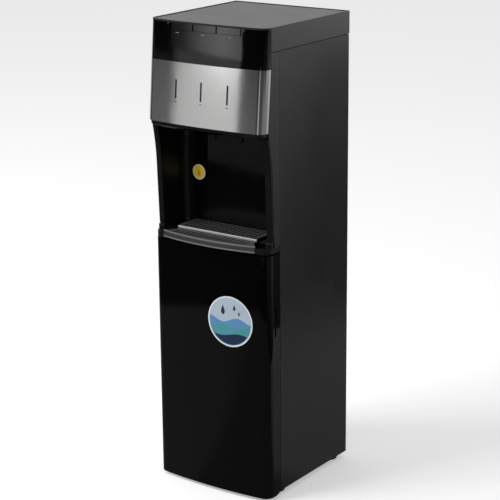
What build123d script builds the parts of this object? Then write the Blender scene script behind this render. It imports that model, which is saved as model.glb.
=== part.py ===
from build123d import *
import math
import os

# Bottom load water cooler. Millimetres, +Z up, the front faces -Y.
# Origin: on the floor, at the middle of the overall footprint.

# ---------------------------------------------------------------- driving sizes
WIDTH = 310.0              # across the side sheets
HEIGHT = 1065.0            # floor to roof
SEAM_Y = -112.0            # front edge of the side sheets
CABINET_DEPTH = 274.5      # side sheets, front to rear
SHEET = 1.0                # steel sheet of the cabinet
REAR_SHEET = 0.8
FOOT_HEIGHT = 15.0
WALL = 3.0                 # moulded plastic walls
JOINT_GAP = 0.3            # between fixed mouldings
MOVE_GAP = 1.0             # round pieces that move

# head: a bowed front that leans forward on its way down
HEAD_LEAD = 52.5           # roof's front edge ahead of the side sheets
FASCIA_DROP = 87.0         # roof down to the band
FASCIA_LEAN = 7.6          # lean over that drop
BAND_HEIGHT = 133.5
BAND_LEAN = 12.0           # lean over the band's height
HEAD_BOW = 1300.0          # radius of the front's bow in plan
HEAD_CORNER = 20.0
ROOF_THICK = 3.0
RIM_HEIGHT = 1.0           # bead round the roof
RIM_WIDTH = 4.0
GROOVE_WIDTH = 3.0         # groove inside the bead
GROOVE_DEPTH = 1.2
ROOF_OVERHANG = 1.2        # behind the side sheets
SKIRT_DROP = 51.0          # roof down to the edge of its skirt
SKIRT_SEAM = 1.4           # shadow line under the skirt
SKIRT_REST = 12.0          # block inside the skirt that lies on the side sheet
REST_START, REST_END = 10.0, 40.0
FASCIA_END = 29.0          # fascia's side edge ahead of the side sheets
FASCIA_SETBACK = 0.6       # fascia lies behind the band's face
BAND_THICK = 1.2
BAND_WRAP = 2.5            # band runs on behind its rounded corner
WEB_DEPTH = 14.0           # shelf of the moulding along the band's top
WEB_THICK = 3.0

# three keys under the roof's front edge
KEY_WIDTH = 58.0
KEY_PITCH = 61.5
KEY_HEIGHT = 14.0
KEY_DEPTH = 12.0
KEY_TRAVEL = 3.0
KEY_LIP = 2.5
KEY_LIP_GAP = 3.4          # lip behind the fascia's skin, more than the key's travel
KEY_WALL = 2.0
KEY_FACE = 6.0             # thickness of the key's face at its middle
KEY_GAP = 0.7              # between a key's lower edge and the fascia
SWITCH_CLEAR = 1.5         # left between a pressed key and its switch
SWITCH_SIZE = 8.0
SWITCH_X = 13.0            # switch beside its spring
SPRING_RADIUS = 4.0
SPRING_WIRE = 0.9
SPRING_TURNS = 4
SPRING_LENGTH = 10.0
SPRING_CLEAR = 0.6         # spring round its pin, and inside its socket
BOARD_THICK = 1.6
BOARD_HEIGHT = 16.0
BOARD_NOTCH = 1.2          # board's upper edge under the moulding
PLUG_WIDTH = 6.0
PLUG_DEPTH = 5.0           # sockets on the back of the board
POST_WIDTH = 8.0           # fascia's posts that carry the board
POST_DROP = 9.0

# indicator slits in the band
SLIT_WIDTH = 4.5
SLIT_HEIGHT = 41.0
SLIT_PITCH = 68.5
SLIT_SHIFT = -3.0          # the row of slits sits this far off the middle
SLIT_RISE = 55.0           # above the band's lower edge
SLIT_RELIEF = 0.5          # wider slit in the moulding behind
LENS_GAP = 0.2             # light guide to its slit
LENS_SETBACK = 0.5         # light guide lies behind the band's face
LENS_PAD = 2.0             # plate behind the moulding that holds the light guide
LENS_EDGE = 3.0

# niche where the cup stands
NICHE_DROP = 247.5         # band's lower edge down to the niche's floor
NICHE_SIDE = 15.0          # niche's wall inside the cabinet's side
NICHE_DEPTH = 52.5         # behind the side sheets' front edge
NICHE_CORNER = 14.0
NICHE_WALL = 2.5
MOUTH_DEPTH = 6.0          # gloss lip along the cheeks' front edge
LIP_ROUND = 2.5
CHEEK_TOP = 48.0           # cheek's front edge ahead of the side sheets, just under the head
CHEEK_BEND = 38.5
CHEEK_LOW = 33.5
CHEEK_FOOT = 26.5
CHEEK_BEND_DROP = 47.5
CHEEK_LOW_DROP = 94.5
SPOUT_PLATE = 12.1
SPOUT_PLATE_EDGE = 4.5
SPOUT_PITCH = 71.5
SPOUT_LEAD = 25.5          # spouts ahead of the side sheets
SPOUT_REACH = 32.5         # tips under the band
SPOUT_RADIUS = 7.0
SPOUT_BORE = 4.0
SPOUT_NECK = 5.0
SPOUT_NECK_UP = 8.0        # neck above the plate
SPOUT_EDGE = 1.5
COLLAR_WIDTH = 3.0
COLLAR_HEIGHT = 3.0
SEAT_GAP = 0.1             # parts that lie face to face
VALVE_SIZE = (24.0, 30.0, 26.0)
VALVE_ROUND = 3.0
COIL_CAN_RADIUS = 9.0      # magnet coil on a valve
COIL_CAN_HEIGHT = 18.0
COIL_CAN_LEAD = 2.0
LINE_RADIUS = 4.0
LINE_BORE = 2.8
LINE_BEND = 14.0
LINE_DROP = 10.0           # line under its valve's top
LINE_BACK = 17.5           # riser behind the niche

# ledge, drip tray and grilles
LEDGE_DROP = 8.0           # ledge's top under the niche's floor
LEDGE_HEIGHT = 12.0
LEDGE_INSET = 0.8
LEDGE_DECK = 2.5
LEDGE_RIB = 4.0            # rib that carries the niche, beside the tray
LUG_RISE = 14.0
LUG_RADIUS = 9.0
LUG_LEAD = 27.0            # ahead of the side sheets
LUG_ROUND = 3.5
TRAY_CLEAR = 0.8           # tray over the ledge's deck
TRAY_HEIGHT = 15.2         # front rim
TRAY_REAR_RISE = 2.5       # rear part over the niche's floor
TRAY_LEAD = 67.5           # front of its silver rim ahead of the side sheets
TRAY_BOW = 510.0
TRAY_BACK_GAP = 4.5        # behind the tray
TRAY_TAPER = 49.0          # the wide front part ends here, ahead of the side sheets
TRAY_STEP = 29.0           # the narrow part starts here
FLOOR_NOTCH = 3.0          # room for the lower grille's rear corners when it is lifted
TRAY_SIDE = 31.0           # beside the wide front part
TRAY_NARROWS = 17.0        # each side, towards the rear
REAR_FLOOR_DROP = 5.0      # rear basin's floor under the front grille
TRAY_WALL = 2.0
RIM_THICK = 3.0
RIM_STEP = 1.2
RIM_REST = 0.8             # the rim's cap covers this much of the tray's wall
GRILLE_THICK = 2.0
GRILLE_EDGE = 0.4
GRILLE_SINK = 0.5          # front grille under the rim's top
GRILLE_SPLIT = 18.0        # bar between the two grilles, ahead of the side sheets
BAR_DEPTH = 4.5
BAR_HEIGHT = 5.0
BAR_RISE = 0.2
BAR_ROUND = 1.8
SLOT_LENGTH = 13.0
SLOT_WIDTH = 5.0
SLOT_PITCH = 13.0
SLOT_ROW = 15.0            # between two rows of slots
SLOT_TILT = 55.0
SLOT_MARGIN = 7.0          # bare ends of a grille
FRONT_SLOTS_BACK = 4.0     # front grille's slots lie behind its middle

# door
DOOR_LEAD = 56.7           # door's front ahead of the side sheets
DOOR_BOW = 1200.0
DOOR_CORNER = 22.0
DOOR_LOW_Z = 8.0
DOOR_GAP = 3.0             # door to ledge
DOOR_WALL = 2.5
DOOR_END_GAP = 1.0         # free edge to the side sheet
DOOR_HINGE_GAP = 4.0       # hinge edge to the side sheet
DOOR_HEEL = 18.0           # rounded lower rear corner of the side returns
GRIP_LEAD = 18.4           # finger slot ahead of the side sheets
GRIP_WIDTH = 6.0
GRIP_DROP = 124.2          # under the door's top
GRIP_LENGTH = 64.3
HINGE_INSET = 8.0          # pin inside the cabinet's side
HINGE_LEAD = 14.0          # pin ahead of the side sheets
PIN_RADIUS = 3.0
PIN_FIT = 0.05             # radial clearance of a pin in its bush
PIN_REACH = 11.0           # pin inside the boss
BUSH_WALL = 2.0
BUSH_PRESS = 0.02          # bush inside its boss
BOSS_WALL = 3.0
BOSS_HEIGHT = 14.0
BRACKET_THICK = 2.0
BRACKET_EDGE = 5.0
BRACKET_LENGTH = 40.0
TOP_ARM = 24.0             # top bracket's arm runs inboard of the pin
BOTTOM_ARM = 16.0
LINER_THICK = 2.5
LINER_LEAD = 4.0           # liner's rear face ahead of the side sheets
LINER_MARGIN = 4.0         # over and under the hinge bosses
LINER_RIB = 24.0
LINER_RIB_PITCH = 60.0
LINER_RIB_DEPTH = 6.0
LINER_RIB_END = 30.0
LINER_RETURN = 3.0
LINER_RETURN_SIDE = 35.0
MAGNET_SIZE = (7.5, 3.0, 40.0)
MAGNET_INSET = 4.0         # inside the cabinet's side
MAGNET_LOW = 142.0         # over the door's lower edge
MAGNET_HIGH = 174.0        # under the door's top

# cabinet
FLANGE = 12.0
SHEET_BEND = 0.8
PAN_RISE = 30.0
PAN_SETBACK = 2.0          # behind the side sheets' front edge
SHELF_DROP = 32.0          # under the ledge
SHELF_RISE = 18.0
MACHINE_HEIGHT = 203.0     # shelf to tank shelf
TANK_SHELF_RISE = 14.0
FOOT_RADIUS = 18.0
FOOT_EDGE = 1.5
FOOT_SIDE = 30.0           # foot's middle inside the cabinet's side
FOOT_FRONT = 27.0          # behind the side sheets' front edge
FOOT_REAR = 27.5           # ahead of the rear
BAY_FLOOR = 6.0
BAY_RING_RADIUS = 128.0    # bottle stands inside this ring
BAY_RING_RISE = 6.0
BAY_RING_WALL = 4.0
BAY_BACK = 140.5           # bottle's axis ahead of the rear
PANEL_MARGIN = 2.0         # rear panel inside the cabinet's sides
VENT_PITCH = 12.0
VENT_HEIGHT = 4.0
LOW_VENT = (50.0, 85.0, 8)     # length, height over the pan, rows
LOW_VENT_PITCH = 70.0
HIGH_VENT = (60.0, 15.0, 5)    # length, height over the shelf, rows
HIGH_VENT_X = -40.0

# water works
FOAM = 17.0
TANK_SIDE_GAP = 6.5        # jacket to side sheet
TANK_MIDDLE_GAP = 11.0     # between the jackets
TANK_BACK = 107.5          # tanks' middles ahead of the rear
TANK_HEIGHT = 170.0
TANK_WALL = 1.5
COLD_DOME = 12.0
HOT_RADIUS = 45.0
HOT_EDGE = 3.0
EVAPORATOR_WALL = 3.0
EVAPORATOR_HEIGHT = 110.0
SLEEVE_RISE = 20.0         # evaporator and heater over the tank's bottom
HEATER_HEIGHT = 60.0
HEATER_WALL = 2.0
TERMINAL_SIZE = (12.0, 8.0, 40.0)
TERMINAL_GAP = 1.0
PUMP_SIZE = (80.0, 90.0, 60.0)
PUMP_SIDE, PUMP_BACK = 65.0, 127.5
PUMP_FOOT = 7.0
PUMP_FOOT_HEIGHT = 6.0
PUMP_FOOT_INSET = 13.0
PUMP_ROUND = 8.0
PUMP_OUTLET = 45.0         # over the shelf
PUMP_INLET = 35.0
COMPRESSOR_SIDE, COMPRESSOR_BACK = 95.0, 102.5
SHELL_RADIUS = 58.0
SHELL_DOME = 40.0
COMPRESSOR_FOOT = 124.0    # square foot plate
COMPRESSOR_PLATE = 2.5
COMPRESSOR_HEIGHT = 150.0
TERMINAL_BOX = (44.0, 18.0, 50.0)
TERMINAL_BOX_RISE = 40.0
MOUNT_HEIGHT = 12.0
MOUNT_RADIUS = 9.0
MOUNT_EDGE = 12.0
PROBE_SIDE, PROBE_BACK = 43.0, 40.5
PROBE_RADIUS = 6.0
PROBE_CLEAR = 74.0         # tip over the bay's floor
PROBE_BORE = 4.0
CAP_RADIUS = 29.0
CAP_HEIGHT = 32.0
CAP_DROP = 75.0            # under the shelf
CAP_WALL = 3.0
CAP_EDGE = 4.0
CAP_ROOF = 10.0            # solid top of the cap
CAP_STEM_WALL = 4.0
CAP_SEAT = 6.0             # stem inside the cap
HOSE_SEAT = 4.0
HOSE_STUB = 8.0
HOSE_BEND = 20.0
HOOK_HALF = 14.0
HOOK_THICK = 5.7
HOOK_PLATE_SIDE = 6.0
HOOK_PLATE_LOW, HOOK_PLATE_HIGH = 28.0, 12.0

# condenser on the back
COIL_RADIUS = 2.4
COIL_STAND = 17.2          # behind the rear panel
COIL_SIDE = 65.0           # runs end inside the cabinet's side
COIL_PITCH = 46.0
COIL_RUNS = 9
COIL_RISE = 65.0           # over the shelf
COIL_INLET = 20.0          # upper end ahead of the rear
WIRE_RADIUS = 0.8
WIRE_COUNT = 20
WIRE_MARGIN = 14.0
WIRE_EDGE = 3.0
CLIP_SIZE = (12.0, 14.0)
CLIP_EDGE = 12.0

# rear fittings
PLATE_SIDE = 65.0          # switch plate's middle inside the cabinet's side
PLATE_DROP = 25.0          # under the shelf
PLATE_SIZE = (70.0, 3.0, 34.0)
PLATE_ROUND = 3.0
PLATE_RIM = 5.0            # round the collar
PLATE_LAP = 4.0            # plate over the edge of its hole in the rear sheet
COLLAR_DEPTH = 12.0
WINDOW_HEIGHT = 22.0
ROCKER_SIZE = (13.0, 20.0)
ROCKER_PITCH = 30.0
ROCKER_TIP, ROCKER_TAPER = 0.5, 2.5
ROCKER_DEPTH, ROCKER_EDGE, ROCKER_CROWN = 4.0, 2.8, 3.4
GLAND_SIDE = 35.0
GLAND_RISE = 45.0
GLAND_RADIUS = 8.0
GLAND_FLANGE = 4.0
GLAND_NECK = 6.0
GLAND_STEP = 2.0           # hole and barrel inside the flange
GLAND_EDGE = 1.5
GLAND_BORE = 3.8
DRAIN_OFFSET = 40.0        # drain pipe off the hot tank's axis
DRAIN_RISE = 95.0          # over the shelf
DRAIN_RADIUS = 5.0
DRAIN_BORE = 3.0
DRAIN_BEND = 18.0
DRAIN_STICK = 8.0          # pipe stands out behind the rear panel
DRAIN_CAP_WALL = 3.0
DRAIN_CAP_LENGTH = 13.0
DRAIN_CAP_EDGE = 1.5
KNURLS = 12
KNURL_RADIUS = 0.9
SCREW_HEAD = 3.5
SCREW_HEIGHT = 1.8
SCREW_ROWS = 6
SCREW_SIDE = 8.0
SCREW_LOW = 25.0
SCREW_HIGH = 14.0

# ---------------------------------------------------------------- worked out
HALF = WIDTH / 2
INNER = HALF - SHEET
REAR_Y = SEAM_Y + CABINET_DEPTH
ROOF_BACK_Y = REAR_Y + ROOF_OVERHANG
ROOF_UNDER_Z = HEIGHT - RIM_HEIGHT - ROOF_THICK
PANEL_Y = REAR_Y + REAR_SHEET
STRIP_Y = SEAM_Y - JOINT_GAP
SKIRT_Z = HEIGHT - SKIRT_DROP
SHEET_TOP_Z = SKIRT_Z - SKIRT_SEAM
ROOF_FRONT_Y = SEAM_Y - HEAD_LEAD
BAND_TOP_Z = HEIGHT - FASCIA_DROP
BAND_TOP_Y = ROOF_FRONT_Y - FASCIA_LEAN
BAND_LOW_Z = BAND_TOP_Z - BAND_HEIGHT
BAND_LOW_Y = BAND_TOP_Y - BAND_LEAN
FASCIA_END_Y = SEAM_Y - FASCIA_END
KEY_LOW_Z = ROOF_UNDER_Z - JOINT_GAP - KEY_HEIGHT
KEY_MIDDLE_Z = KEY_LOW_Z + KEY_HEIGHT / 2
KEYS_HALF = 1.5 * KEY_PITCH + 1
SLIT_LOW_Z = BAND_LOW_Z + SLIT_RISE
INSIDE_Y = FASCIA_END_Y + 1    # past every wall of the head's front
NICHE_FLOOR_Z = BAND_LOW_Z - NICHE_DROP
NICHE_HALF = HALF - NICHE_SIDE
NICHE_BACK_Y = SEAM_Y + NICHE_DEPTH
SPOUT_PLATE_TOP = BAND_LOW_Z - JOINT_GAP
SPOUT_PLATE_LOW = SPOUT_PLATE_TOP - SPOUT_PLATE
SPOUT_TIP_Z = BAND_LOW_Z - SPOUT_REACH
SPOUT_Y = SEAM_Y - SPOUT_LEAD
VALVE_LOW_Z = SPOUT_PLATE_TOP
LINE_Z = VALVE_LOW_Z + VALVE_SIZE[2] - LINE_DROP
SHELF_FRONT_Y = NICHE_BACK_Y + NICHE_WALL + 3
RISER_Y = NICHE_BACK_Y + LINE_BACK
LEDGE_TOP_Z = NICHE_FLOOR_Z - LEDGE_DROP
LEDGE_LOW_Z = LEDGE_TOP_Z - LEDGE_HEIGHT
LUG_TOP_Z = LEDGE_TOP_Z + LUG_RISE
LUG_X = HALF - LEDGE_INSET - LUG_RADIUS
LUG_Y = SEAM_Y - LUG_LEAD
TRAY_LOW_Z = LEDGE_LOW_Z + LEDGE_DECK + TRAY_CLEAR
TRAY_RIM_TOP_Z = TRAY_LOW_Z + TRAY_HEIGHT
TRAY_REAR_TOP_Z = NICHE_FLOOR_Z + TRAY_REAR_RISE
TRAY_FRONT_Y = SEAM_Y - TRAY_LEAD
TRAY_BACK_Y = NICHE_BACK_Y - TRAY_BACK_GAP
TRAY_TAPER_Y = SEAM_Y - TRAY_TAPER
TRAY_STEP_Y = SEAM_Y - TRAY_STEP
TRAY_HALF_FRONT = HALF - TRAY_SIDE
TRAY_HALF_REAR = TRAY_HALF_FRONT - TRAY_NARROWS
FRONT_GRILLE_Z = TRAY_RIM_TOP_Z - GRILLE_THICK - GRILLE_SINK
GRILLE_SPLIT_Y = SEAM_Y - GRILLE_SPLIT
REAR_FLOOR_Z = FRONT_GRILLE_Z - REAR_FLOOR_DROP
BAR_LOW_Z = TRAY_RIM_TOP_Z + BAR_RISE
DOOR_FRONT_Y = SEAM_Y - DOOR_LEAD
DOOR_TOP_Z = LEDGE_LOW_Z - DOOR_GAP
GRIP_Y = SEAM_Y - GRIP_LEAD
GRIP_TOP_Z = DOOR_TOP_Z - GRIP_DROP
HINGE_X = HINGE_INSET - HALF
HINGE_Y = SEAM_Y - HINGE_LEAD
BUSH_RADIUS = PIN_RADIUS + PIN_FIT + BUSH_WALL
LINER_Y = SEAM_Y - LINER_LEAD
SHELF_Z = LEDGE_LOW_Z - SHELF_DROP
TANK_SHELF_Z = SHELF_Z + MACHINE_HEIGHT
FOOT_X = HALF - FOOT_SIDE
FOOT_FRONT_Y = SEAM_Y + FOOT_FRONT
FOOT_REAR_Y = REAR_Y - FOOT_REAR
BAY_FLOOR_Z = FOOT_HEIGHT + SHEET
BAY_Y = REAR_Y - BAY_BACK
TANK_LOW_Z = TANK_SHELF_Z + FOAM
TANK_TOP_Z = TANK_LOW_Z + TANK_HEIGHT
TANK_SPACE = 2 * (INNER - SHEET - TANK_SIDE_GAP) - TANK_MIDDLE_GAP - 4 * FOAM
COLD_RADIUS = TANK_SPACE / 2 - HOT_RADIUS
HOT_X = HOT_RADIUS + FOAM + TANK_SIDE_GAP - INNER + SHEET
COLD_X = INNER - SHEET - TANK_SIDE_GAP - FOAM - COLD_RADIUS
HOT_Y = REAR_Y - TANK_BACK
COLD_Y = HOT_Y
PUMP_X, PUMP_Y = PUMP_SIDE - HALF, REAR_Y - PUMP_BACK
COMPRESSOR_X, COMPRESSOR_Y = HALF - COMPRESSOR_SIDE, REAR_Y - COMPRESSOR_BACK
PROBE_X, PROBE_Y = PROBE_SIDE - HALF, REAR_Y - PROBE_BACK
CAP_LOW_Z = SHELF_Z - CAP_DROP
PROBE_TIP_Z = BAY_FLOOR_Z + BAY_FLOOR + PROBE_CLEAR
PROBE_LENGTH = CAP_LOW_Z + CAP_SEAT - PROBE_TIP_Z
COIL_Y = PANEL_Y + COIL_STAND
COIL_HALF = HALF - COIL_SIDE
COIL_LOW_Z = SHELF_Z + COIL_RISE
PLATE_X, PLATE_Z = HALF - PLATE_SIDE, SHELF_Z - PLATE_DROP
GLAND_X, GLAND_Z = HALF - GLAND_SIDE, FOOT_HEIGHT + GLAND_RISE
DRAIN_X, DRAIN_Z = HOT_X - DRAIN_OFFSET, SHELF_Z + DRAIN_RISE
DECK_HALF = HALF - FLANGE - JOINT_GAP
NAMES = ("hot", "room", "cold")

os.makedirs("parts", exist_ok=True)


# ---------------------------------------------------------------- helpers
def block(x0, x1, y0, y1, z0, z1):
    """A block between two corners."""
    centre = Pos((x0 + x1) / 2, (y0 + y1) / 2, (z0 + z1) / 2)
    return centre * Box(x1 - x0, y1 - y0, z1 - z0)


def disc(x, y, z, radius, height):
    """An upright cylinder that stands on z."""
    return Pos(x, y, z + height / 2) * Cylinder(radius, height)


def disc_y(x, y, z, radius, length):
    """A cylinder along Y that starts at y."""
    return Pos(x, y + length / 2, z) * Rot(90, 0, 0) * Cylinder(radius, length)


def front_plan(front_y, back_y, inset=0.0, bow=HEAD_BOW, corner=HEAD_CORNER):
    """Plan of a body with a bowed front and rounded front corners."""
    centre_y = front_y + bow
    corner_x = HALF - corner
    corner_y = centre_y - math.sqrt((bow - corner) ** 2 - corner_x ** 2)
    ux = corner_x / (bow - corner)
    uy = (corner_y - centre_y) / (bow - corner)
    reach = bow - inset
    tangent = (ux * reach, centre_y + uy * reach)
    radius = corner - inset
    length = math.hypot(ux + 1, uy)
    middle = (corner_x + radius * (ux + 1) / length, corner_y + radius * uy / length)
    end = (HALF - inset, corner_y)
    back = back_y - inset
    edges = [
        Line((-end[0], back), (-end[0], end[1])),
        ThreePointArc((-end[0], end[1]), (-middle[0], middle[1]), (-tangent[0], tangent[1])),
        ThreePointArc((-tangent[0], tangent[1]), (0, front_y + inset), tangent),
        ThreePointArc(tangent, middle, end),
        Line(end, (end[0], back)),
        Line((end[0], back), (-end[0], back)),
    ]
    return make_face(edges)


def corner_end(front_y, bow=HEAD_BOW, corner=HEAD_CORNER):
    """Where the rounded corner meets the flat side."""
    return front_y + bow - math.sqrt((bow - corner) ** 2 - (HALF - corner) ** 2)


def head_front(z):
    """Front of the head at its middle, at a height."""
    if z >= BAND_TOP_Z:
        share = (z - BAND_TOP_Z) / (HEIGHT - BAND_TOP_Z)
        return BAND_TOP_Y + share * (ROOF_FRONT_Y - BAND_TOP_Y)
    share = (z - BAND_LOW_Z) / (BAND_TOP_Z - BAND_LOW_Z)
    return BAND_LOW_Y + share * (BAND_TOP_Y - BAND_LOW_Y)


def lean(face, z_low, z_high):
    """Extrudes a plan from one height to another along the head's lean."""
    rise = z_high - z_low
    shift = head_front(z_high) - head_front(z_low)
    length = math.hypot(rise, shift)
    return extrude(Pos(0, 0, z_low) * face, amount=length, dir=(0, shift / length, rise / length))


def head_solid(z_low, z_high, back_y, inset=0.0):
    """Slice of the head between two heights, cut square at the back."""
    plan = front_plan(head_front(z_low), back_y + 60, inset)
    return lean(plan, z_low, z_high) & block(-WIDTH, WIDTH, -WIDTH, back_y, z_low, z_high)


def head_shell(z_low, z_high, back_y, inset, thick):
    """Skin of the head between two heights."""
    return head_solid(z_low, z_high, back_y, inset) - head_solid(z_low, z_high, back_y + 1, inset + thick)


def door_solid(z_low, z_high, back_y, inset=0.0):
    """Slice of the door's outline."""
    plan = front_plan(DOOR_FRONT_Y, back_y + inset, inset, DOOR_BOW, DOOR_CORNER)
    return extrude(Pos(0, 0, z_low) * plan, amount=z_high - z_low)


def cheek_solid(x0, x1, offset, back_y, low_z, high_z):
    """A cheek from the side: its curved front edge moved back by an offset, and cut to a height range."""
    top = (SEAM_Y - CHEEK_TOP + offset, BAND_LOW_Z)
    bend = (SEAM_Y - CHEEK_BEND + offset, BAND_LOW_Z - CHEEK_BEND_DROP)
    low = (SEAM_Y - CHEEK_LOW + offset, BAND_LOW_Z - CHEEK_LOW_DROP)
    foot = (SEAM_Y - CHEEK_FOOT + offset, LEDGE_LOW_Z)
    edges = [
        ThreePointArc(top, bend, low),
        Line(low, foot),
        Line(foot, (back_y, LEDGE_LOW_Z)),
        Line((back_y, LEDGE_LOW_Z), (back_y, BAND_LOW_Z)),
        Line((back_y, BAND_LOW_Z), top),
    ]
    side = extrude(Plane.YZ * make_face(edges), amount=x1 - x0, dir=(1, 0, 0))
    return (Pos(x0, 0, 0) * side) & block(x0, x1, -WIDTH, WIDTH, low_z, high_z)


def both_sides(piece):
    """A piece and its mirror image across the middle."""
    return [piece, mirror(piece, about=Plane.YZ)]


def join(pieces):
    """One solid out of touching pieces."""
    whole = pieces[0]
    for piece in pieces[1:]:
        whole = whole + piece
    return whole


def tube(points, radius, bore, bend):
    """A pipe along straight runs joined by tangent arcs."""
    if len(points) > 2:
        path = FilletPolyline(*points, radius=bend)
    else:
        path = Line(*points)
    start = Plane(origin=path @ 0, z_dir=path % 0)
    outer = sweep(start * Circle(radius), path=path)
    if bore == 0:
        return outer
    return outer - sweep(start * Circle(bore), path=path)


def least_gap(path, wire_radius, apart):
    """Least gap between the turns of a wire, on points that lie further apart than this along it."""
    count = 360
    points = [path @ (step / count) for step in range(count + 1)]
    skip = math.ceil(apart / path.length * count)
    near = min((points[a] - points[b]).length for a in range(count + 1) for b in range(a + skip, count + 1))
    return near - 2 * wire_radius


def save(name, shape):
    """Writes one node; a group keeps its pieces as separate solids."""
    if isinstance(shape, (list, tuple)):
        solids = [solid for piece in shape for solid in piece.solids()]
    else:
        solids = list(shape.solids())
    whole = solids[0] if len(solids) == 1 else Compound(children=solids)
    whole.label = name
    export_step(whole, f"parts/{name}.step")
    print(name, len(solids), "solid(s)")


# ---------------------------------------------------------------- cabinet
def feet():
    """Four moulded feet under the base pan."""
    pieces = []
    for x in (-FOOT_X, FOOT_X):
        for y in (FOOT_FRONT_Y, FOOT_REAR_Y):
            foot = disc(x, y, 0, FOOT_RADIUS, FOOT_HEIGHT)
            pieces.append(chamfer(foot.edges().group_by(Axis.Z)[0], FOOT_EDGE))
    return pieces


def base_pan():
    """Steel pan with upturned sides and rear."""
    outer = block(-INNER, INNER, SEAM_Y + PAN_SETBACK, REAR_Y - SHEET, FOOT_HEIGHT, FOOT_HEIGHT + PAN_RISE)
    hollow = block(-INNER + SHEET, INNER - SHEET, SEAM_Y, REAR_Y - 2 * SHEET,
                   FOOT_HEIGHT + SHEET, FOOT_HEIGHT + PAN_RISE + 1)
    return outer - hollow


def side_panel():
    """Right side sheet with its front and rear flanges."""
    low = FOOT_HEIGHT
    high = SHEET_TOP_Z
    sheet = block(INNER, HALF, SEAM_Y, REAR_Y, low, high)
    front = block(HALF - FLANGE, HALF, SEAM_Y, SEAM_Y + SHEET, low + PAN_RISE + 1, high)
    rear = block(HALF - FLANGE, HALF, REAR_Y - SHEET, REAR_Y, low, high)
    return fillet((sheet + front + rear).edges().filter_by(Axis.Z).group_by(Axis.X)[-1], SHEET_BEND)


def vent_rows(panel, x, z, length, rows):
    """Rows of level slots in the rear sheet, from the lowest up."""
    slot = SlotOverall(length, VENT_HEIGHT).face()
    for row in range(rows):
        place = Pos(x, REAR_Y - 1, z + row * VENT_PITCH) * Rot(90, 0, 0)
        panel = panel - extrude(place * slot, amount=-REAR_SHEET - 2)
    return panel


def rear_panel():
    """Rear sheet with its vents and the holes for the fittings."""
    side = HALF - PANEL_MARGIN
    panel = block(-side, side, REAR_Y, PANEL_Y, FOOT_HEIGHT, SHEET_TOP_Z)
    length, rise, rows = LOW_VENT
    for x in (-LOW_VENT_PITCH, 0, LOW_VENT_PITCH):
        panel = vent_rows(panel, x, FOOT_HEIGHT + rise, length, rows)
    length, drop, rows = HIGH_VENT
    panel = vent_rows(panel, HIGH_VENT_X, SHELF_Z - drop, length, rows)
    coil_top = COIL_LOW_Z + (COIL_RUNS - 1) * COIL_PITCH
    for x, z, radius in (
        (GLAND_X, GLAND_Z, GLAND_RADIUS - GLAND_STEP),
        (DRAIN_X, DRAIN_Z, DRAIN_RADIUS + JOINT_GAP),
        (COIL_HALF, COIL_LOW_Z, COIL_RADIUS + JOINT_GAP),
        (-COIL_HALF, coil_top, COIL_RADIUS + JOINT_GAP),
    ):
        panel = panel - disc_y(x, REAR_Y - 1, z, radius, REAR_SHEET + 2)
    w, h = PLATE_SIZE[0] / 2 - PLATE_LAP, PLATE_SIZE[2] / 2 - PLATE_LAP
    return panel - block(PLATE_X - w, PLATE_X + w, REAR_Y - 1, PANEL_Y + 1, PLATE_Z - h, PLATE_Z + h)


def screw_places():
    """Heads along both edges of the rear panel."""
    low = FOOT_HEIGHT + SCREW_LOW
    rise = (SKIRT_Z - SCREW_HIGH - low) / (SCREW_ROWS - 1)
    side = HALF - SCREW_SIDE
    return [(x, low + row * rise) for row in range(SCREW_ROWS) for x in (-side, side)]


def panel_screws():
    """Pan-head screws that hold the rear panel."""
    pieces = []
    arm = SCREW_HEAD / 2
    slit = SCREW_HEAD / 9
    for x, z in screw_places():
        head = disc_y(x, PANEL_Y, z, SCREW_HEAD, SCREW_HEIGHT)
        head = chamfer(head.edges().group_by(Axis.Y)[-1], SCREW_HEAD / 5)
        cross = block(x - arm, x + arm, PANEL_Y + SCREW_HEIGHT / 2, PANEL_Y + 3, z - slit, z + slit)
        cross = cross + block(x - slit, x + slit, PANEL_Y + SCREW_HEIGHT / 2, PANEL_Y + 3, z - arm, z + arm)
        pieces.append(head - cross)
    return pieces


def pan_shelf(z, rise, holes):
    """Steel shelf with upturned edges between the side sheets."""
    outer = block(-INNER, INNER, SHELF_FRONT_Y, REAR_Y - SHEET, z, z + rise)
    side = INNER - SHEET
    hollow = block(-side, side, SHELF_FRONT_Y + SHEET, REAR_Y - 2 * SHEET, z + SHEET, z + rise + 1)
    tray = outer - hollow
    for x, y, radius in holes:
        tray = tray - disc(x, y, z - 1, radius, SHEET + 2)
    return tray


def shelf():
    """Carries the compressor and the pump above the bottle bay, and closes the bay's roof."""
    tray = pan_shelf(SHELF_Z, SHELF_RISE, [(PROBE_X, PROBE_Y, LINE_RADIUS + MOVE_GAP)])
    apron = block(-INNER, INNER, SEAM_Y + PAN_SETBACK, SHELF_FRONT_Y + SHEET, SHELF_Z, SHELF_Z + SHEET)
    return tray + apron


def tank_shelf():
    """Carries both tanks."""
    holes = [(DRAIN_X, HOT_Y, DRAIN_RADIUS + 2), (0, RISER_Y, LINE_RADIUS + 2)]
    return pan_shelf(TANK_SHELF_Z, TANK_SHELF_RISE, holes)


def bay_floor():
    """Moulded floor of the bottle bay with a ring that centres the bottle."""
    low = BAY_FLOOR_Z
    side = INNER - SHEET - JOINT_GAP
    slab = block(-side, side, SEAM_Y + PAN_SETBACK, REAR_Y - 2 * SHEET - JOINT_GAP, low, low + BAY_FLOOR)
    ring = disc(0, BAY_Y, low + 1, BAY_RING_RADIUS + BAY_RING_WALL, BAY_FLOOR - 1 + BAY_RING_RISE)
    floor = slab + ring
    return floor - disc(0, BAY_Y, low + BAY_FLOOR, BAY_RING_RADIUS, BAY_RING_RISE + 1)


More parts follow.
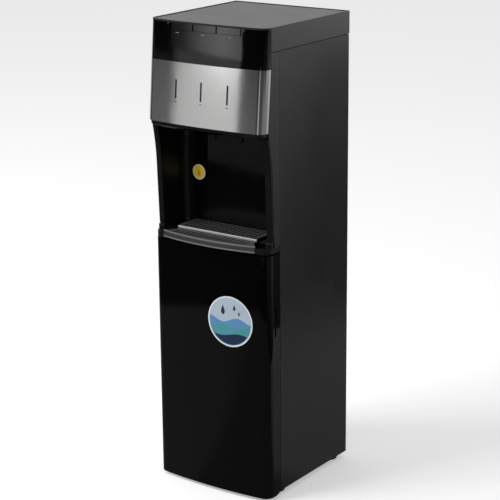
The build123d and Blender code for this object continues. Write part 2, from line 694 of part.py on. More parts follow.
# ---------------------------------------------------------------- head
def top_cover():
    """Roof with a beaded rim and a groove inside it, and a skirt down both sides and the back."""
    roof_plan = front_plan(ROOF_FRONT_Y, ROOF_BACK_Y)
    roof = extrude(Pos(0, 0, ROOF_UNDER_Z) * roof_plan, amount=HEIGHT - ROOF_UNDER_Z)
    inner_plan = front_plan(ROOF_FRONT_Y, ROOF_BACK_Y, RIM_WIDTH)
    roof = roof - extrude(Pos(0, 0, HEIGHT - RIM_HEIGHT) * inner_plan, amount=RIM_HEIGHT + 1)
    groove = extrude(Pos(0, 0, HEIGHT - RIM_HEIGHT - GROOVE_DEPTH) * inner_plan, amount=GROOVE_DEPTH + 1)
    field_plan = front_plan(ROOF_FRONT_Y, ROOF_BACK_Y, RIM_WIDTH + GROOVE_WIDTH)
    roof = roof - (groove - extrude(Pos(0, 0, ROOF_UNDER_Z) * field_plan, amount=ROOF_THICK + 1))
    skirt = extrude(Pos(0, 0, SKIRT_Z) * roof_plan, amount=ROOF_UNDER_Z - SKIRT_Z)
    hollow_plan = front_plan(ROOF_FRONT_Y, ROOF_BACK_Y, WALL)
    skirt = skirt - extrude(Pos(0, 0, SKIRT_Z - 1) * hollow_plan, amount=ROOF_UNDER_Z - SKIRT_Z + 1)
    skirt = skirt - block(-WIDTH, WIDTH, -WIDTH, FASCIA_END_Y + JOINT_GAP, SKIRT_Z - 1, ROOF_UNDER_Z)
    cover = roof + skirt
    y0, y1 = SEAM_Y + REST_START, SEAM_Y + REST_END
    rest = block(INNER - SKIRT_REST, HALF - WALL, y0, y1, SHEET_TOP_Z + JOINT_GAP, ROOF_UNDER_Z)
    for piece in both_sides(rest):
        cover = cover + piece
    return cover


def fascia():
    """Gloss curved plate above the band, notched for the keys, with posts for the switch board."""
    low = BAND_TOP_Z + JOINT_GAP
    high = ROOF_UNDER_Z - JOINT_GAP
    skin = head_shell(low, high, FASCIA_END_Y, FASCIA_SETBACK, WALL)
    reach = KEYS_HALF
    notch = block(-reach, reach, -WIDTH, INSIDE_Y, KEY_LOW_Z - KEY_GAP, high + 1)
    skin = skin - notch
    low = KEY_LOW_Z - POST_DROP
    root = head_front(low) + FASCIA_SETBACK + WALL / 2
    for side in (-1, 1):
        middle = side * (reach + POST_WIDTH / 2 + 1)
        x0, x1 = middle - POST_WIDTH / 2, middle + POST_WIDTH / 2
        post = block(x0, x1, root + POST_WIDTH / 2, board_y() - JOINT_GAP, low, high)
        foot = block(x0, x1, root, root + POST_WIDTH, low, high)
        foot = foot & head_solid(low, high, board_y(), FASCIA_SETBACK + 1)
        skin = skin + (post + foot)
    return skin


def steel_band():
    """Stainless plate that wraps the head, with three slits."""
    low = BAND_LOW_Z
    high = BAND_TOP_Z
    skin = head_shell(low, high, STRIP_Y, 0.0, BAND_THICK)
    end = corner_end(head_front(low)) + BAND_WRAP
    behind = make_face(Polyline((-WIDTH, end), (WIDTH, end), (WIDTH, WIDTH), (-WIDTH, WIDTH), close=True))
    skin = skin - lean(behind, low - 1, high + 1)
    for index in (-1, 0, 1):
        x = SLIT_SHIFT + index * SLIT_PITCH
        half = SLIT_WIDTH / 2
        skin = skin - block(x - half, x + half, -WIDTH, INSIDE_Y, SLIT_LOW_Z, SLIT_LOW_Z + SLIT_HEIGHT)
    return skin


def face_frame():
    """Satin moulding behind the band, with the side strips from the skirt down to the ledge."""
    low = BAND_LOW_Z + JOINT_GAP
    top = SHEET_TOP_Z
    inset = BAND_THICK + JOINT_GAP
    backing = head_shell(low, BAND_TOP_Z, STRIP_Y, inset, WALL)
    strip = head_shell(low, BAND_TOP_Z, STRIP_Y, 0.0, WALL + inset)
    end = corner_end(head_front(low)) + BAND_WRAP + JOINT_GAP
    ahead = make_face(Polyline((-WIDTH, -WIDTH), (WIDTH, -WIDTH), (WIDTH, end), (-WIDTH, end), close=True))
    strip = strip - lean(ahead, low - 1, BAND_TOP_Z + 1)
    web = head_shell(BAND_TOP_Z - WEB_THICK, BAND_TOP_Z, STRIP_Y, inset, WEB_DEPTH)
    frame = backing + strip + web
    upper = head_shell(BAND_TOP_Z, top, STRIP_Y, 0.0, WALL)
    upper = upper - block(-WIDTH, WIDTH, -WIDTH, FASCIA_END_Y + JOINT_GAP, BAND_TOP_Z - 1, top + 1)
    frame = frame + upper
    foot_z = LEDGE_TOP_Z + JOINT_GAP
    cheek = cheek_solid(HALF - WALL, HALF, MOUTH_DEPTH + JOINT_GAP, STRIP_Y, foot_z, BAND_LOW_Z)
    tie = block(HALF - WALL, HALF, SPOUT_Y, STRIP_Y, BAND_LOW_Z - 1, low + 1)
    tie = tie & head_solid(BAND_LOW_Z - 1, low + 1, STRIP_Y)
    flange = block(HALF - FLANGE, HALF - WALL, STRIP_Y - WALL, STRIP_Y, foot_z, top)
    for piece in both_sides(cheek + tie + flange):
        frame = frame + piece
    for index in (-1, 0, 1):
        x = SLIT_SHIFT + index * SLIT_PITCH
        half = SLIT_WIDTH / 2 + SLIT_RELIEF
        top = SLIT_LOW_Z + SLIT_HEIGHT + SLIT_RELIEF
        frame = frame - block(x - half, x + half, -WIDTH, INSIDE_Y, SLIT_LOW_Z - SLIT_RELIEF, top)
    return frame


def indicator_lenses():
    """Three light guides behind the band's slits."""
    low = SLIT_LOW_Z + LENS_GAP
    high = SLIT_LOW_Z + SLIT_HEIGHT - LENS_GAP
    seat = BAND_THICK + JOINT_GAP + WALL
    half = SLIT_WIDTH / 2 - LENS_GAP
    core = head_shell(low, high, INSIDE_Y, LENS_SETBACK, seat + LENS_PAD)
    back = head_shell(low - LENS_EDGE, high + LENS_EDGE, INSIDE_Y, seat, LENS_PAD)
    wide = half + LENS_EDGE
    pieces = []
    for index in (-1, 0, 1):
        x = SLIT_SHIFT + index * SLIT_PITCH
        guide = core & block(x - half, x + half, -WIDTH, INSIDE_Y, low, high)
        pad = back & block(x - wide, x + wide, -WIDTH, INSIDE_Y, low - LENS_EDGE, high + LENS_EDGE)
        pieces.append(guide + pad)
    return pieces


def board_y():
    """Front face of the switch board."""
    return head_front(KEY_LOW_Z) + FASCIA_SETBACK + KEY_DEPTH + SPRING_LENGTH


def key(index):
    """One push key: a curved face with a lip that keeps it behind the fascia."""
    x = index * KEY_PITCH
    high = KEY_LOW_Z + KEY_HEIGHT
    front = head_front(KEY_LOW_Z) + FASCIA_SETBACK
    back = front + KEY_DEPTH
    face = head_solid(KEY_LOW_Z, high, back, FASCIA_SETBACK)
    body = face & block(x - KEY_WIDTH / 2, x + KEY_WIDTH / 2, -WIDTH, back, KEY_LOW_Z, high)
    half = KEY_WIDTH / 2 - KEY_WALL
    body = body - block(x - half, x + half, front + KEY_FACE, back + 1, KEY_LOW_Z + KEY_WALL, high - KEY_WALL)
    lip = block(x - KEY_WIDTH / 2, x + KEY_WIDTH / 2, front + WALL + KEY_LIP_GAP, back, KEY_LOW_Z - KEY_LIP,
                KEY_LOW_Z + KEY_WALL)
    pin_radius = SPRING_RADIUS - SPRING_WIRE - SPRING_CLEAR
    pin = disc_y(x, front + KEY_FACE - 1, KEY_MIDDLE_Z, pin_radius, KEY_DEPTH - KEY_FACE + 1)
    socket_depth = KEY_DEPTH - KEY_FACE + 0.5
    socket = disc_y(x, back - socket_depth, KEY_MIDDLE_Z, SPRING_RADIUS + 2, socket_depth)
    return body + lip + pin + socket


def key_spring(index):
    """Compression spring between a key and the switch board."""
    x = index * KEY_PITCH
    start = board_y() - SPRING_LENGTH
    pitch = (SPRING_LENGTH - SPRING_WIRE) / SPRING_TURNS
    path = Helix(pitch, SPRING_LENGTH - SPRING_WIRE, SPRING_RADIUS - SPRING_WIRE / 2)
    section = Plane(origin=path @ 0, z_dir=path % 0) * Circle(SPRING_WIRE / 2)
    coil = sweep(section, path=path)
    gap = least_gap(path, SPRING_WIRE / 2, math.pi * SPRING_RADIUS)
    print("key spring, least gap between turns", round(gap, 2))
    return Pos(x, start + SPRING_WIRE / 2, KEY_MIDDLE_Z) * Rot(-90, 0, 0) * coil


def switch_board():
    """Board that backs the springs, with one switch behind each key."""
    y = board_y()
    reach = KEYS_HALF + POST_WIDTH + 1
    z = KEY_MIDDLE_Z
    board = block(-reach, reach, y, y + BOARD_THICK, z - BOARD_HEIGHT / 2, z + BOARD_HEIGHT / 2 - BOARD_NOTCH)
    switch = SPRING_LENGTH - KEY_TRAVEL - SWITCH_CLEAR
    half = SWITCH_SIZE / 2
    back = y + BOARD_THICK
    for index in (-1, 0, 1):
        middle = index * KEY_PITCH + SWITCH_X
        board = board + block(middle - half, middle + half, y - switch, y, z - half, z + half)
        x1 = index * KEY_PITCH - SWITCH_X + PLUG_WIDTH
        board = board + block(x1 - PLUG_WIDTH, x1, back, back + PLUG_DEPTH, z - PLUG_DEPTH, z + PLUG_DEPTH)
    return board


def spout_plate():
    """Underside of the head, which carries the spouts."""
    z0 = SPOUT_PLATE_LOW
    inset = WALL + JOINT_GAP
    plan = front_plan(head_front(BAND_LOW_Z), STRIP_Y - WALL + inset - JOINT_GAP, inset)
    slab = extrude(Pos(0, 0, z0) * plan, amount=SPOUT_PLATE)
    back_y = NICHE_BACK_Y + NICHE_WALL
    slab = slab + block(-DECK_HALF, DECK_HALF, STRIP_Y - WALL - 2, back_y, z0, z0 + SPOUT_PLATE)
    front_edges = [edge for edge in slab.edges().group_by(Axis.Z)[0] if edge.center().Y < SEAM_Y]
    slab = chamfer(front_edges, SPOUT_PLATE_EDGE)
    for x in spout_places():
        slab = slab - disc(x, SPOUT_Y, z0 - 1, SPOUT_NECK + PIN_FIT, SPOUT_PLATE + 2)
    return slab


def spout_places():
    """X of the three spouts, hot to cold."""
    return [index * SPOUT_PITCH for index in (-1, 0, 1)]


def spout(x):
    """Nozzle with a collar under the plate and a neck up into its valve."""
    shoulder = SPOUT_PLATE_LOW - SEAT_GAP
    top = SPOUT_PLATE_TOP + SPOUT_NECK_UP
    nozzle = disc(x, SPOUT_Y, SPOUT_TIP_Z, SPOUT_RADIUS, shoulder - SPOUT_TIP_Z)
    nozzle = chamfer(nozzle.edges().group_by(Axis.Z)[0], SPOUT_EDGE)
    collar = disc(x, SPOUT_Y, shoulder - COLLAR_HEIGHT, SPOUT_RADIUS + COLLAR_WIDTH, COLLAR_HEIGHT)
    neck = disc(x, SPOUT_Y, shoulder, SPOUT_NECK, top - shoulder)
    bore = disc(x, SPOUT_Y, SPOUT_TIP_Z - 1, SPOUT_BORE, top - SPOUT_TIP_Z + 2)
    return nozzle + collar + neck - bore


def solenoid_valves():
    """One valve above each spout."""
    w, d, h = VALVE_SIZE
    seat = 1 + SPOUT_NECK_UP + JOINT_GAP
    pieces = []
    for x in spout_places():
        body = block(x - w / 2, x + w / 2, SPOUT_Y - d / 2, SPOUT_Y + d / 2, VALVE_LOW_Z, VALVE_LOW_Z + h)
        body = fillet(body.edges().filter_by(Axis.Z), VALVE_ROUND)
        body = body + disc(x, SPOUT_Y - COIL_CAN_LEAD, VALVE_LOW_Z + h, COIL_CAN_RADIUS, COIL_CAN_HEIGHT)
        body = body - disc(x, SPOUT_Y, VALVE_LOW_Z - 1, SPOUT_NECK + PIN_FIT, seat)
        pieces.append(body)
    return pieces


def tank_front(x, centre_x, centre_y, radius):
    """Y where a water line at a given x first meets a round tank."""
    reach = max(0.0, abs(x - centre_x) - LINE_RADIUS)
    return centre_y - math.sqrt(radius ** 2 - reach ** 2)


def water_lines():
    """Pipes from the tanks and the pump to the valves."""
    start = SPOUT_Y + VALVE_SIZE[1] / 2
    hot_x, room_x, cold_x = spout_places()
    hot_end = tank_front(hot_x, HOT_X, HOT_Y, HOT_RADIUS)
    cold_end = tank_front(cold_x, COLD_X, COLD_Y, COLD_RADIUS + EVAPORATOR_WALL)
    pump_front = PUMP_Y - PUMP_SIZE[1] / 2
    outlet_z = SHELF_Z + PUMP_OUTLET
    room = [(room_x, start, LINE_Z), (room_x, RISER_Y, LINE_Z), (room_x, RISER_Y, outlet_z),
            (PUMP_X, RISER_Y, outlet_z), (PUMP_X, pump_front, outlet_z)]
    return [
        tube([(hot_x, start, LINE_Z), (hot_x, hot_end, LINE_Z)], LINE_RADIUS, LINE_BORE, 0),
        tube([(cold_x, start, LINE_Z), (cold_x, cold_end, LINE_Z)], LINE_RADIUS, LINE_BORE, 0),
        tube(room, LINE_RADIUS, LINE_BORE, LINE_BEND),
    ]


# ---------------------------------------------------------------- niche
def niche_liner():
    """Gloss tub of the dispensing niche with its lips along the cheeks."""
    back = NICHE_BACK_Y + NICHE_WALL
    side = NICHE_HALF + NICHE_WALL
    top = SPOUT_PLATE_LOW - JOINT_GAP
    floor_low = NICHE_FLOOR_Z - NICHE_WALL
    outer = block(-side, side, -WIDTH / 2, back, floor_low, top)
    outer = fillet(outer.edges().filter_by(Axis.Z).group_by(Axis.Y)[-1], NICHE_CORNER + NICHE_WALL)
    inner = block(-NICHE_HALF, NICHE_HALF, -WIDTH, NICHE_BACK_Y, NICHE_FLOOR_Z, top + 1)
    inner = fillet(inner.edges().filter_by(Axis.Z).group_by(Axis.Y)[-1], NICHE_CORNER)
    tub = outer - inner
    keep = cheek_solid(-WIDTH, WIDTH, 0.0, back + 1, floor_low, top)
    tub = tub & keep
    gap = TRAY_HALF_REAR + MOVE_GAP
    tub = tub - block(-gap, gap, -WIDTH, TRAY_BACK_Y + MOVE_GAP, floor_low - 1, NICHE_FLOOR_Z + 1)
    notch = gap + FLOOR_NOTCH
    notch_y = GRILLE_SPLIT_Y - BAR_DEPTH / 2 - GRILLE_EDGE
    tub = tub - block(-notch, notch, -WIDTH, notch_y, floor_low - 1, NICHE_FLOOR_Z + 1)
    lip = cheek_solid(NICHE_HALF + 1, HALF, 0.0, SEAM_Y, LUG_TOP_Z + JOINT_GAP, top)
    lip = lip - cheek_solid(NICHE_HALF, HALF + 1, MOUTH_DEPTH, SEAM_Y + 1, LUG_TOP_Z - 1, top + 1)
    pocket = disc(LUG_X, LUG_Y, floor_low - 1, LUG_RADIUS + JOINT_GAP, LUG_TOP_Z - floor_low + 1)
    tub = tub - both_sides(pocket)
    edge = lip.edges().group_by(Axis.X)[-1]
    last_y = SEAM_Y - CHEEK_FOOT + 2
    round_edges = [e for e in edge if e.center().Y < last_y and e.length > CHEEK_BEND_DROP / 2]
    lip = fillet(round_edges, LIP_ROUND)
    for piece in both_sides(lip):
        tub = tub + piece
    return tub


def ledge():
    """Sill under the niche with a lug at each end and a recess for the tray."""
    slab = door_solid(LEDGE_LOW_Z, LEDGE_TOP_Z, STRIP_Y, LEDGE_INSET)
    deck = block(-DECK_HALF, DECK_HALF, STRIP_Y - 1, NICHE_BACK_Y, LEDGE_LOW_Z, LEDGE_LOW_Z + LEDGE_DECK)
    slab = slab + deck
    gap = TRAY_HALF_FRONT + MOVE_GAP
    recess = block(-gap, gap, -WIDTH, TRAY_BACK_Y + 2, LEDGE_LOW_Z + LEDGE_DECK, LEDGE_TOP_Z + 1)
    slab = slab - recess
    wall_x = TRAY_HALF_REAR + LEDGE_RIB
    wall_top = NICHE_FLOOR_Z - NICHE_WALL
    wall = block(wall_x, wall_x + LEDGE_DECK, STRIP_Y + 1, NICHE_BACK_Y, LEDGE_LOW_Z + 1, wall_top)
    lug = disc(LUG_X, LUG_Y, LEDGE_TOP_Z - 1, LUG_RADIUS, LUG_TOP_Z - LEDGE_TOP_Z + 1)
    lug = fillet(lug.edges().group_by(Axis.Z)[-1], LUG_ROUND)
    for piece in both_sides(wall) + both_sides(lug):
        slab = slab + piece
    return slab


def tray_outline(inset, low, high, back_y):
    """The tray's outline: wide and bowed in front, and narrower from the taper on."""
    plan = front_plan(TRAY_FRONT_Y, 0, RIM_THICK + inset, TRAY_BOW, DOOR_CORNER)
    front_half = TRAY_HALF_FRONT - inset
    rear_half = TRAY_HALF_REAR - inset
    right = [(front_half, -WIDTH), (front_half, TRAY_TAPER_Y), (rear_half, TRAY_STEP_Y), (rear_half, back_y - inset)]
    left = [(-x, y) for x, y in reversed(right)]
    sides = make_face(Polyline(*right, *left, close=True))
    return extrude(Pos(0, 0, low) * (plan & sides), amount=high - low)


def drip_tray():
    """Front basin with a bowed front, and a higher basin in the niche that drains into it under the bar."""
    front_y = GRILLE_SPLIT_Y - BAR_DEPTH / 2
    back_y = GRILLE_SPLIT_Y + BAR_DEPTH / 2
    front = tray_outline(0.0, TRAY_LOW_Z, FRONT_GRILLE_Z, back_y)
    front = front - tray_outline(TRAY_WALL, TRAY_LOW_Z + TRAY_WALL, FRONT_GRILLE_Z + 1, back_y)
    front = front - block(-WIDTH, WIDTH, front_y - SEAT_GAP, 0, REAR_FLOOR_Z - SEAT_GAP, FRONT_GRILLE_Z + 1)
    half = TRAY_HALF_REAR
    inner = half - TRAY_WALL
    rear = block(-half, half, front_y, TRAY_BACK_Y, REAR_FLOOR_Z, TRAY_REAR_TOP_Z)
    rear = rear - block(-inner, inner, front_y - 1, TRAY_BACK_Y - TRAY_WALL, REAR_FLOOR_Z + TRAY_WALL, HEIGHT)
    rear = rear - block(-WIDTH, WIDTH, front_y - 1, back_y, BAR_LOW_Z, HEIGHT)
    return [front, rear]


def rim_band(outer, inner, low, high):
    """A strip of the tray's rim between two offsets from its front."""
    skin = front_plan(TRAY_FRONT_Y, 0, outer, TRAY_BOW, DOOR_CORNER)
    core = front_plan(TRAY_FRONT_Y, 10, inner, TRAY_BOW, DOOR_CORNER)
    ring = extrude(Pos(0, 0, low) * skin, amount=high - low)
    ring = ring - extrude(Pos(0, 0, low - 1) * core, amount=high - low + 2)
    return ring & block(-TRAY_HALF_FRONT, TRAY_HALF_FRONT, -WIDTH, TRAY_STEP_Y, low, high)


def tray_rim():
    """Silver trim round the tray's front, in two steps."""
    half_z = (TRAY_LOW_Z + TRAY_RIM_TOP_Z) / 2
    lower = rim_band(0.0, RIM_THICK, TRAY_LOW_Z, half_z)
    upper = rim_band(RIM_STEP, RIM_THICK, half_z, TRAY_RIM_TOP_Z)
    cap = rim_band(RIM_STEP, RIM_THICK + RIM_REST, FRONT_GRILLE_Z + SEAT_GAP, TRAY_RIM_TOP_Z)
    return lower + upper + cap


def slotted(plate, half, middle_y, rows, z):
    """A grille plate with rows of slanted slots."""
    count = int(2 * half // SLOT_PITCH)
    shape = Rot(0, 0, SLOT_TILT) * SlotOverall(SLOT_LENGTH, SLOT_WIDTH)
    for index in range(count):
        x = (index - (count - 1) / 2) * SLOT_PITCH
        for row in range(rows):
            y = middle_y + (row - (rows - 1) / 2) * SLOT_ROW
            plate = plate - extrude(Pos(x, y, z - 1) * shape, amount=GRILLE_THICK + 2)
    return plate


def front_grille():
    """Lower grille, with a bowed front edge behind the tray's rim."""
    y1 = GRILLE_SPLIT_Y - BAR_DEPTH / 2 - GRILLE_EDGE
    inset = RIM_REST + GRILLE_EDGE
    plate = tray_outline(inset, FRONT_GRILLE_Z, FRONT_GRILLE_Z + GRILLE_THICK, y1 + inset)
    middle_y = (TRAY_FRONT_Y + RIM_THICK + y1) / 2 + FRONT_SLOTS_BACK
    return slotted(plate, TRAY_HALF_REAR - SLOT_MARGIN, middle_y, 2, FRONT_GRILLE_Z)


def rear_grille():
    """Raised grille at the back of the niche."""
    y0 = GRILLE_SPLIT_Y + BAR_DEPTH / 2 + GRILLE_EDGE
    z = TRAY_REAR_TOP_Z
    plate = block(-TRAY_HALF_REAR, TRAY_HALF_REAR, y0, TRAY_BACK_Y, z, z + GRILLE_THICK)
    half = TRAY_HALF_REAR - TRAY_WALL - GRILLE_EDGE
    back_y = TRAY_BACK_Y - TRAY_WALL - GRILLE_EDGE
    rib = GRILLE_THICK
    locator = block(-half, half, y0 + rib, back_y, z - rib, z)
    locator = locator - block(-half + rib, half - rib, y0 + 2 * rib, back_y - rib, z - rib - 1, z)
    return slotted(plate + locator, TRAY_HALF_REAR - SLOT_MARGIN, (y0 + TRAY_BACK_Y) / 2, 4, z)


def tray_bar():
    """Chrome bar across the tray between the grilles."""
    y0 = GRILLE_SPLIT_Y - BAR_DEPTH / 2
    bar = block(-TRAY_HALF_REAR, TRAY_HALF_REAR, y0, y0 + BAR_DEPTH, BAR_LOW_Z, BAR_LOW_Z + BAR_HEIGHT)
    return fillet(bar.edges().filter_by(Axis.X).group_by(Axis.Z)[-1], BAR_ROUND)


# ---------------------------------------------------------------- door
def door_panel():
    """Gloss bowed shell of the door with a finger slot in its free side."""
    rear = SEAM_Y - DOOR_END_GAP
    shell = door_solid(DOOR_LOW_Z, DOOR_TOP_Z, rear)
    pocket = door_solid(DOOR_LOW_Z + DOOR_WALL, DOOR_TOP_Z - DOOR_WALL, rear + 10, DOOR_WALL)
    shell = shell - pocket
    shell = shell - block(-WIDTH, HINGE_X + DOOR_CORNER, SEAM_Y - DOOR_HINGE_GAP, 0, 0, DOOR_TOP_Z + 1)
    for z0 in (DOOR_LOW_Z, DOOR_TOP_Z - BOSS_HEIGHT):
        boss = disc(HINGE_X, HINGE_Y, z0, BUSH_RADIUS + BOSS_WALL, BOSS_HEIGHT)
        shell = shell + (boss & door_solid(DOOR_LOW_Z, DOOR_TOP_Z, SEAM_Y - DOOR_HINGE_GAP))
        shell = shell - disc(HINGE_X, HINGE_Y, z0 - 1, BUSH_RADIUS, BOSS_HEIGHT + 2)
    slot = SlotOverall(GRIP_LENGTH, GRIP_WIDTH).face()
    centre = Pos(HALF - DOOR_WALL - 1, GRIP_Y, GRIP_TOP_Z - GRIP_LENGTH / 2)
    shell = shell - extrude(centre * Rot(0, 90, 0) * slot, amount=DOOR_WALL + 2)
    start_y = rear - DOOR_HEEL
    top_z = DOOR_LOW_Z + DOOR_HEEL
    bulge = DOOR_HEEL * math.sin(math.pi / 4)
    heel = Plane.YZ * make_face([
        Line((rear + 1, DOOR_LOW_Z - 1), (start_y, DOOR_LOW_Z - 1)),
        Line((start_y, DOOR_LOW_Z - 1), (start_y, DOOR_LOW_Z)),
        ThreePointArc((start_y, DOOR_LOW_Z), (start_y + bulge, top_z - bulge), (rear, top_z)),
        Line((rear, top_z), (rear + 1, top_z)),
        Line((rear + 1, top_z), (rear + 1, DOOR_LOW_Z - 1)),
    ])
    return shell - Pos(HALF - DOOR_WALL - 0.5, 0, 0) * extrude(heel, amount=DOOR_WALL + 2, dir=(1, 0, 0))


def door_liner():
    """Inner sheet of the door with pressed ribs."""
    edge = DOOR_WALL + JOINT_GAP
    low = DOOR_LOW_Z + BOSS_HEIGHT + LINER_MARGIN
    high = DOOR_TOP_Z - BOSS_HEIGHT - LINER_MARGIN
    back = LINER_Y - LINER_THICK
    plate = block(-HALF + edge, HALF - edge, back, LINER_Y, low, high)
    half = LINER_RIB / 2
    inner = half - LINER_THICK
    for index in range(4):
        x = (index - 1.5) * LINER_RIB_PITCH
        z0, z1 = low + LINER_RIB_END, high - LINER_RIB_END
        rib = block(x - half, x + half, back - LINER_RIB_DEPTH, back, z0, z1)
        groove = block(x - inner, x + inner, back - LINER_RIB_DEPTH + LINER_THICK, LINER_Y + 1,
                       z0 + LINER_THICK, z1 - LINER_THICK)
        plate = plate + rib - groove
    side = HALF - LINER_RETURN_SIDE
    for z in (low, high - LINER_RETURN):
        reach = door_solid(z, z + LINER_RETURN, LINER_Y, edge)
        plate = plate + (reach & block(-side, side, DOOR_FRONT_Y, LINER_Y - 1, z, z + LINER_RETURN))
    return plate


def hinge_bushes():
    """Plastic bushes in the door's top and bottom bosses."""
    pieces = []
    for z0 in (DOOR_LOW_Z, DOOR_TOP_Z - BOSS_HEIGHT):
        bush = disc(HINGE_X, HINGE_Y, z0, BUSH_RADIUS - BUSH_PRESS, BOSS_HEIGHT)
        pieces.append(bush - disc(HINGE_X, HINGE_Y, z0 - 1, PIN_RADIUS + PIN_FIT, BOSS_HEIGHT + 2))
    return pieces


def hinge_top():
    """Bracket under the ledge with a pin down into the door."""
    z1 = LEDGE_LOW_Z
    z0 = z1 - BRACKET_THICK
    edge = HINGE_X + TOP_ARM
    arm = block(HINGE_X - BRACKET_EDGE, edge, HINGE_Y - BRACKET_EDGE - 1, SEAM_Y - 1, z0, z1)
    leg = block(-DECK_HALF, edge, SEAM_Y - BRACKET_THICK, SEAM_Y + BRACKET_LENGTH, z0, z1)
    pin_low = DOOR_TOP_Z - PIN_REACH
    return arm + leg + disc(HINGE_X, HINGE_Y, pin_low, PIN_RADIUS, z0 - pin_low)


def hinge_bottom():
    """Cranked bracket under the base pan with a pin up into the door."""
    z1 = DOOR_LOW_Z - MOVE_GAP
    z0 = z1 - BRACKET_THICK
    x0, x1 = HINGE_X - BRACKET_EDGE, HINGE_X + BOTTOM_ARM
    y0 = SEAM_Y + 2 * BRACKET_THICK
    y1 = y0 + BRACKET_THICK
    arm = block(x0, x1, HINGE_Y - BRACKET_EDGE - 1, y1, z0, z1)
    riser = block(x0, x1, y0, y1, z0, FOOT_HEIGHT)
    foot = block(x0, x1, y0, SEAM_Y + BRACKET_LENGTH, FOOT_HEIGHT - BRACKET_THICK, FOOT_HEIGHT)
    low = FOOT_HEIGHT - 2 * BRACKET_THICK
    foot = foot - disc(-FOOT_X, FOOT_FRONT_Y, low, FOOT_RADIUS + JOINT_GAP, 3 * BRACKET_THICK)
    return arm + riser + foot + disc(HINGE_X, HINGE_Y, z1, PIN_RADIUS, PIN_REACH + MOVE_GAP)


def door_magnets():
    """Magnets on the liner that meet the side sheet's flange."""
    pieces = []
    w, d, h = MAGNET_SIZE
    for z in (DOOR_LOW_Z + MAGNET_LOW, DOOR_TOP_Z - MAGNET_HIGH):
        pieces.append(block(HALF - MAGNET_INSET - w, HALF - MAGNET_INSET, LINER_Y, LINER_Y + d, z, z + h))
    return pieces


# ---------------------------------------------------------------- bottle bay
def probe_holder():
    """Hook on the bay's rear corner that carries the cap."""
    z0 = CAP_LOW_Z - HOOK_THICK - JOINT_GAP
    x0, x1 = PROBE_X - HOOK_HALF, PROBE_X + HOOK_HALF
    plate = block(x0 - HOOK_PLATE_SIDE, x1, REAR_Y - WALL, REAR_Y, z0 - HOOK_PLATE_LOW, z0 + HOOK_PLATE_HIGH)
    arm = block(x0, x1, PROBE_Y - HOOK_HALF, REAR_Y - 1, z0, z0 + HOOK_THICK)
    half = PROBE_RADIUS + MOVE_GAP
    ring = disc(PROBE_X, PROBE_Y, z0 - 1, half, HOOK_THICK + 2)
    front = PROBE_Y - HOOK_HALF - 1
    mouth = block(PROBE_X - half, PROBE_X + half, front, PROBE_Y, z0 - 1, z0 + HOOK_THICK + 1)
    return plate + arm - ring - mouth


def suction_probe():
    """Dip tube that reaches the bottom of the bottle."""
    stem = disc(PROBE_X, PROBE_Y, PROBE_TIP_Z, PROBE_RADIUS, PROBE_LENGTH)
    return stem - disc(PROBE_X, PROBE_Y, PROBE_TIP_Z - 1, PROBE_BORE, PROBE_LENGTH + 2)


def probe_cap():
    """Screw collar that fits over the bottle's neck."""
    top = CAP_LOW_Z + CAP_HEIGHT
    body = disc(PROBE_X, PROBE_Y, CAP_LOW_Z, CAP_RADIUS, CAP_HEIGHT)
    body = chamfer(body.edges().group_by(Axis.Z)[-1], CAP_EDGE)
    body = body - disc(PROBE_X, PROBE_Y, CAP_LOW_Z - 1, CAP_RADIUS - CAP_WALL, CAP_HEIGHT - CAP_ROOF + 1)
    body = body + disc(PROBE_X, PROBE_Y, CAP_LOW_Z, PROBE_RADIUS + CAP_STEM_WALL, CAP_HEIGHT - CAP_ROOF / 2)
    body = body - disc(PROBE_X, PROBE_Y, CAP_LOW_Z - 1, PROBE_RADIUS + PIN_FIT, CAP_SEAT + SEAT_GAP + 1)
    body = body + disc(PROBE_X, PROBE_Y, top - 1, LINE_RADIUS + CAP_WALL, HOSE_STUB + 1)
    body = body - disc(PROBE_X, PROBE_Y, top - HOSE_SEAT, LINE_RADIUS + PIN_FIT, HOSE_SEAT + HOSE_STUB + 1)
    return body - disc(PROBE_X, PROBE_Y, CAP_LOW_Z, LINE_BORE, CAP_HEIGHT)


def suction_hose():
    """Hose from the cap up through the shelf to the pump."""
    z0 = CAP_LOW_Z + CAP_HEIGHT - HOSE_SEAT + SEAT_GAP
    z1 = SHELF_Z + PUMP_INLET
    pump_back = PUMP_Y + PUMP_SIZE[1] / 2
    return tube([(PROBE_X, PROBE_Y, z0), (PROBE_X, PROBE_Y, z1), (PROBE_X, pump_back, z1)],
                LINE_RADIUS, LINE_BORE, HOSE_BEND)


def pump():
    """Diaphragm pump on the shelf."""
    w, d, h = PUMP_SIZE
    z0 = SHELF_Z + SHEET
    z1 = z0 + PUMP_FOOT_HEIGHT
    body = block(PUMP_X - w / 2, PUMP_X + w / 2, PUMP_Y - d / 2, PUMP_Y + d / 2, z1, z0 + h)
    body = fillet(body.edges().filter_by(Axis.Y), PUMP_ROUND)
    reach_x = w / 2 - PUMP_FOOT_INSET
    reach_y = d / 2 - PUMP_FOOT_INSET
    for x in (PUMP_X - reach_x, PUMP_X + reach_x):
        for y in (PUMP_Y - reach_y, PUMP_Y + reach_y):
            body = body + disc(x, y, z0, PUMP_FOOT, PUMP_FOOT_HEIGHT + 2)
    return body


# ---------------------------------------------------------------- tanks and cooling
def cold_tank():
    """Stainless tank with domed ends."""
    tank = disc(COLD_X, COLD_Y, TANK_LOW_Z, COLD_RADIUS, TANK_HEIGHT)
    tank = fillet(tank.edges().filter_by(GeomType.CIRCLE), COLD_DOME)
    inside = TANK_HEIGHT - 2 * TANK_WALL
    cavity = disc(COLD_X, COLD_Y, TANK_LOW_Z + TANK_WALL, COLD_RADIUS - TANK_WALL, inside)
    return tank - fillet(cavity.edges().filter_by(GeomType.CIRCLE), COLD_DOME - TANK_WALL)


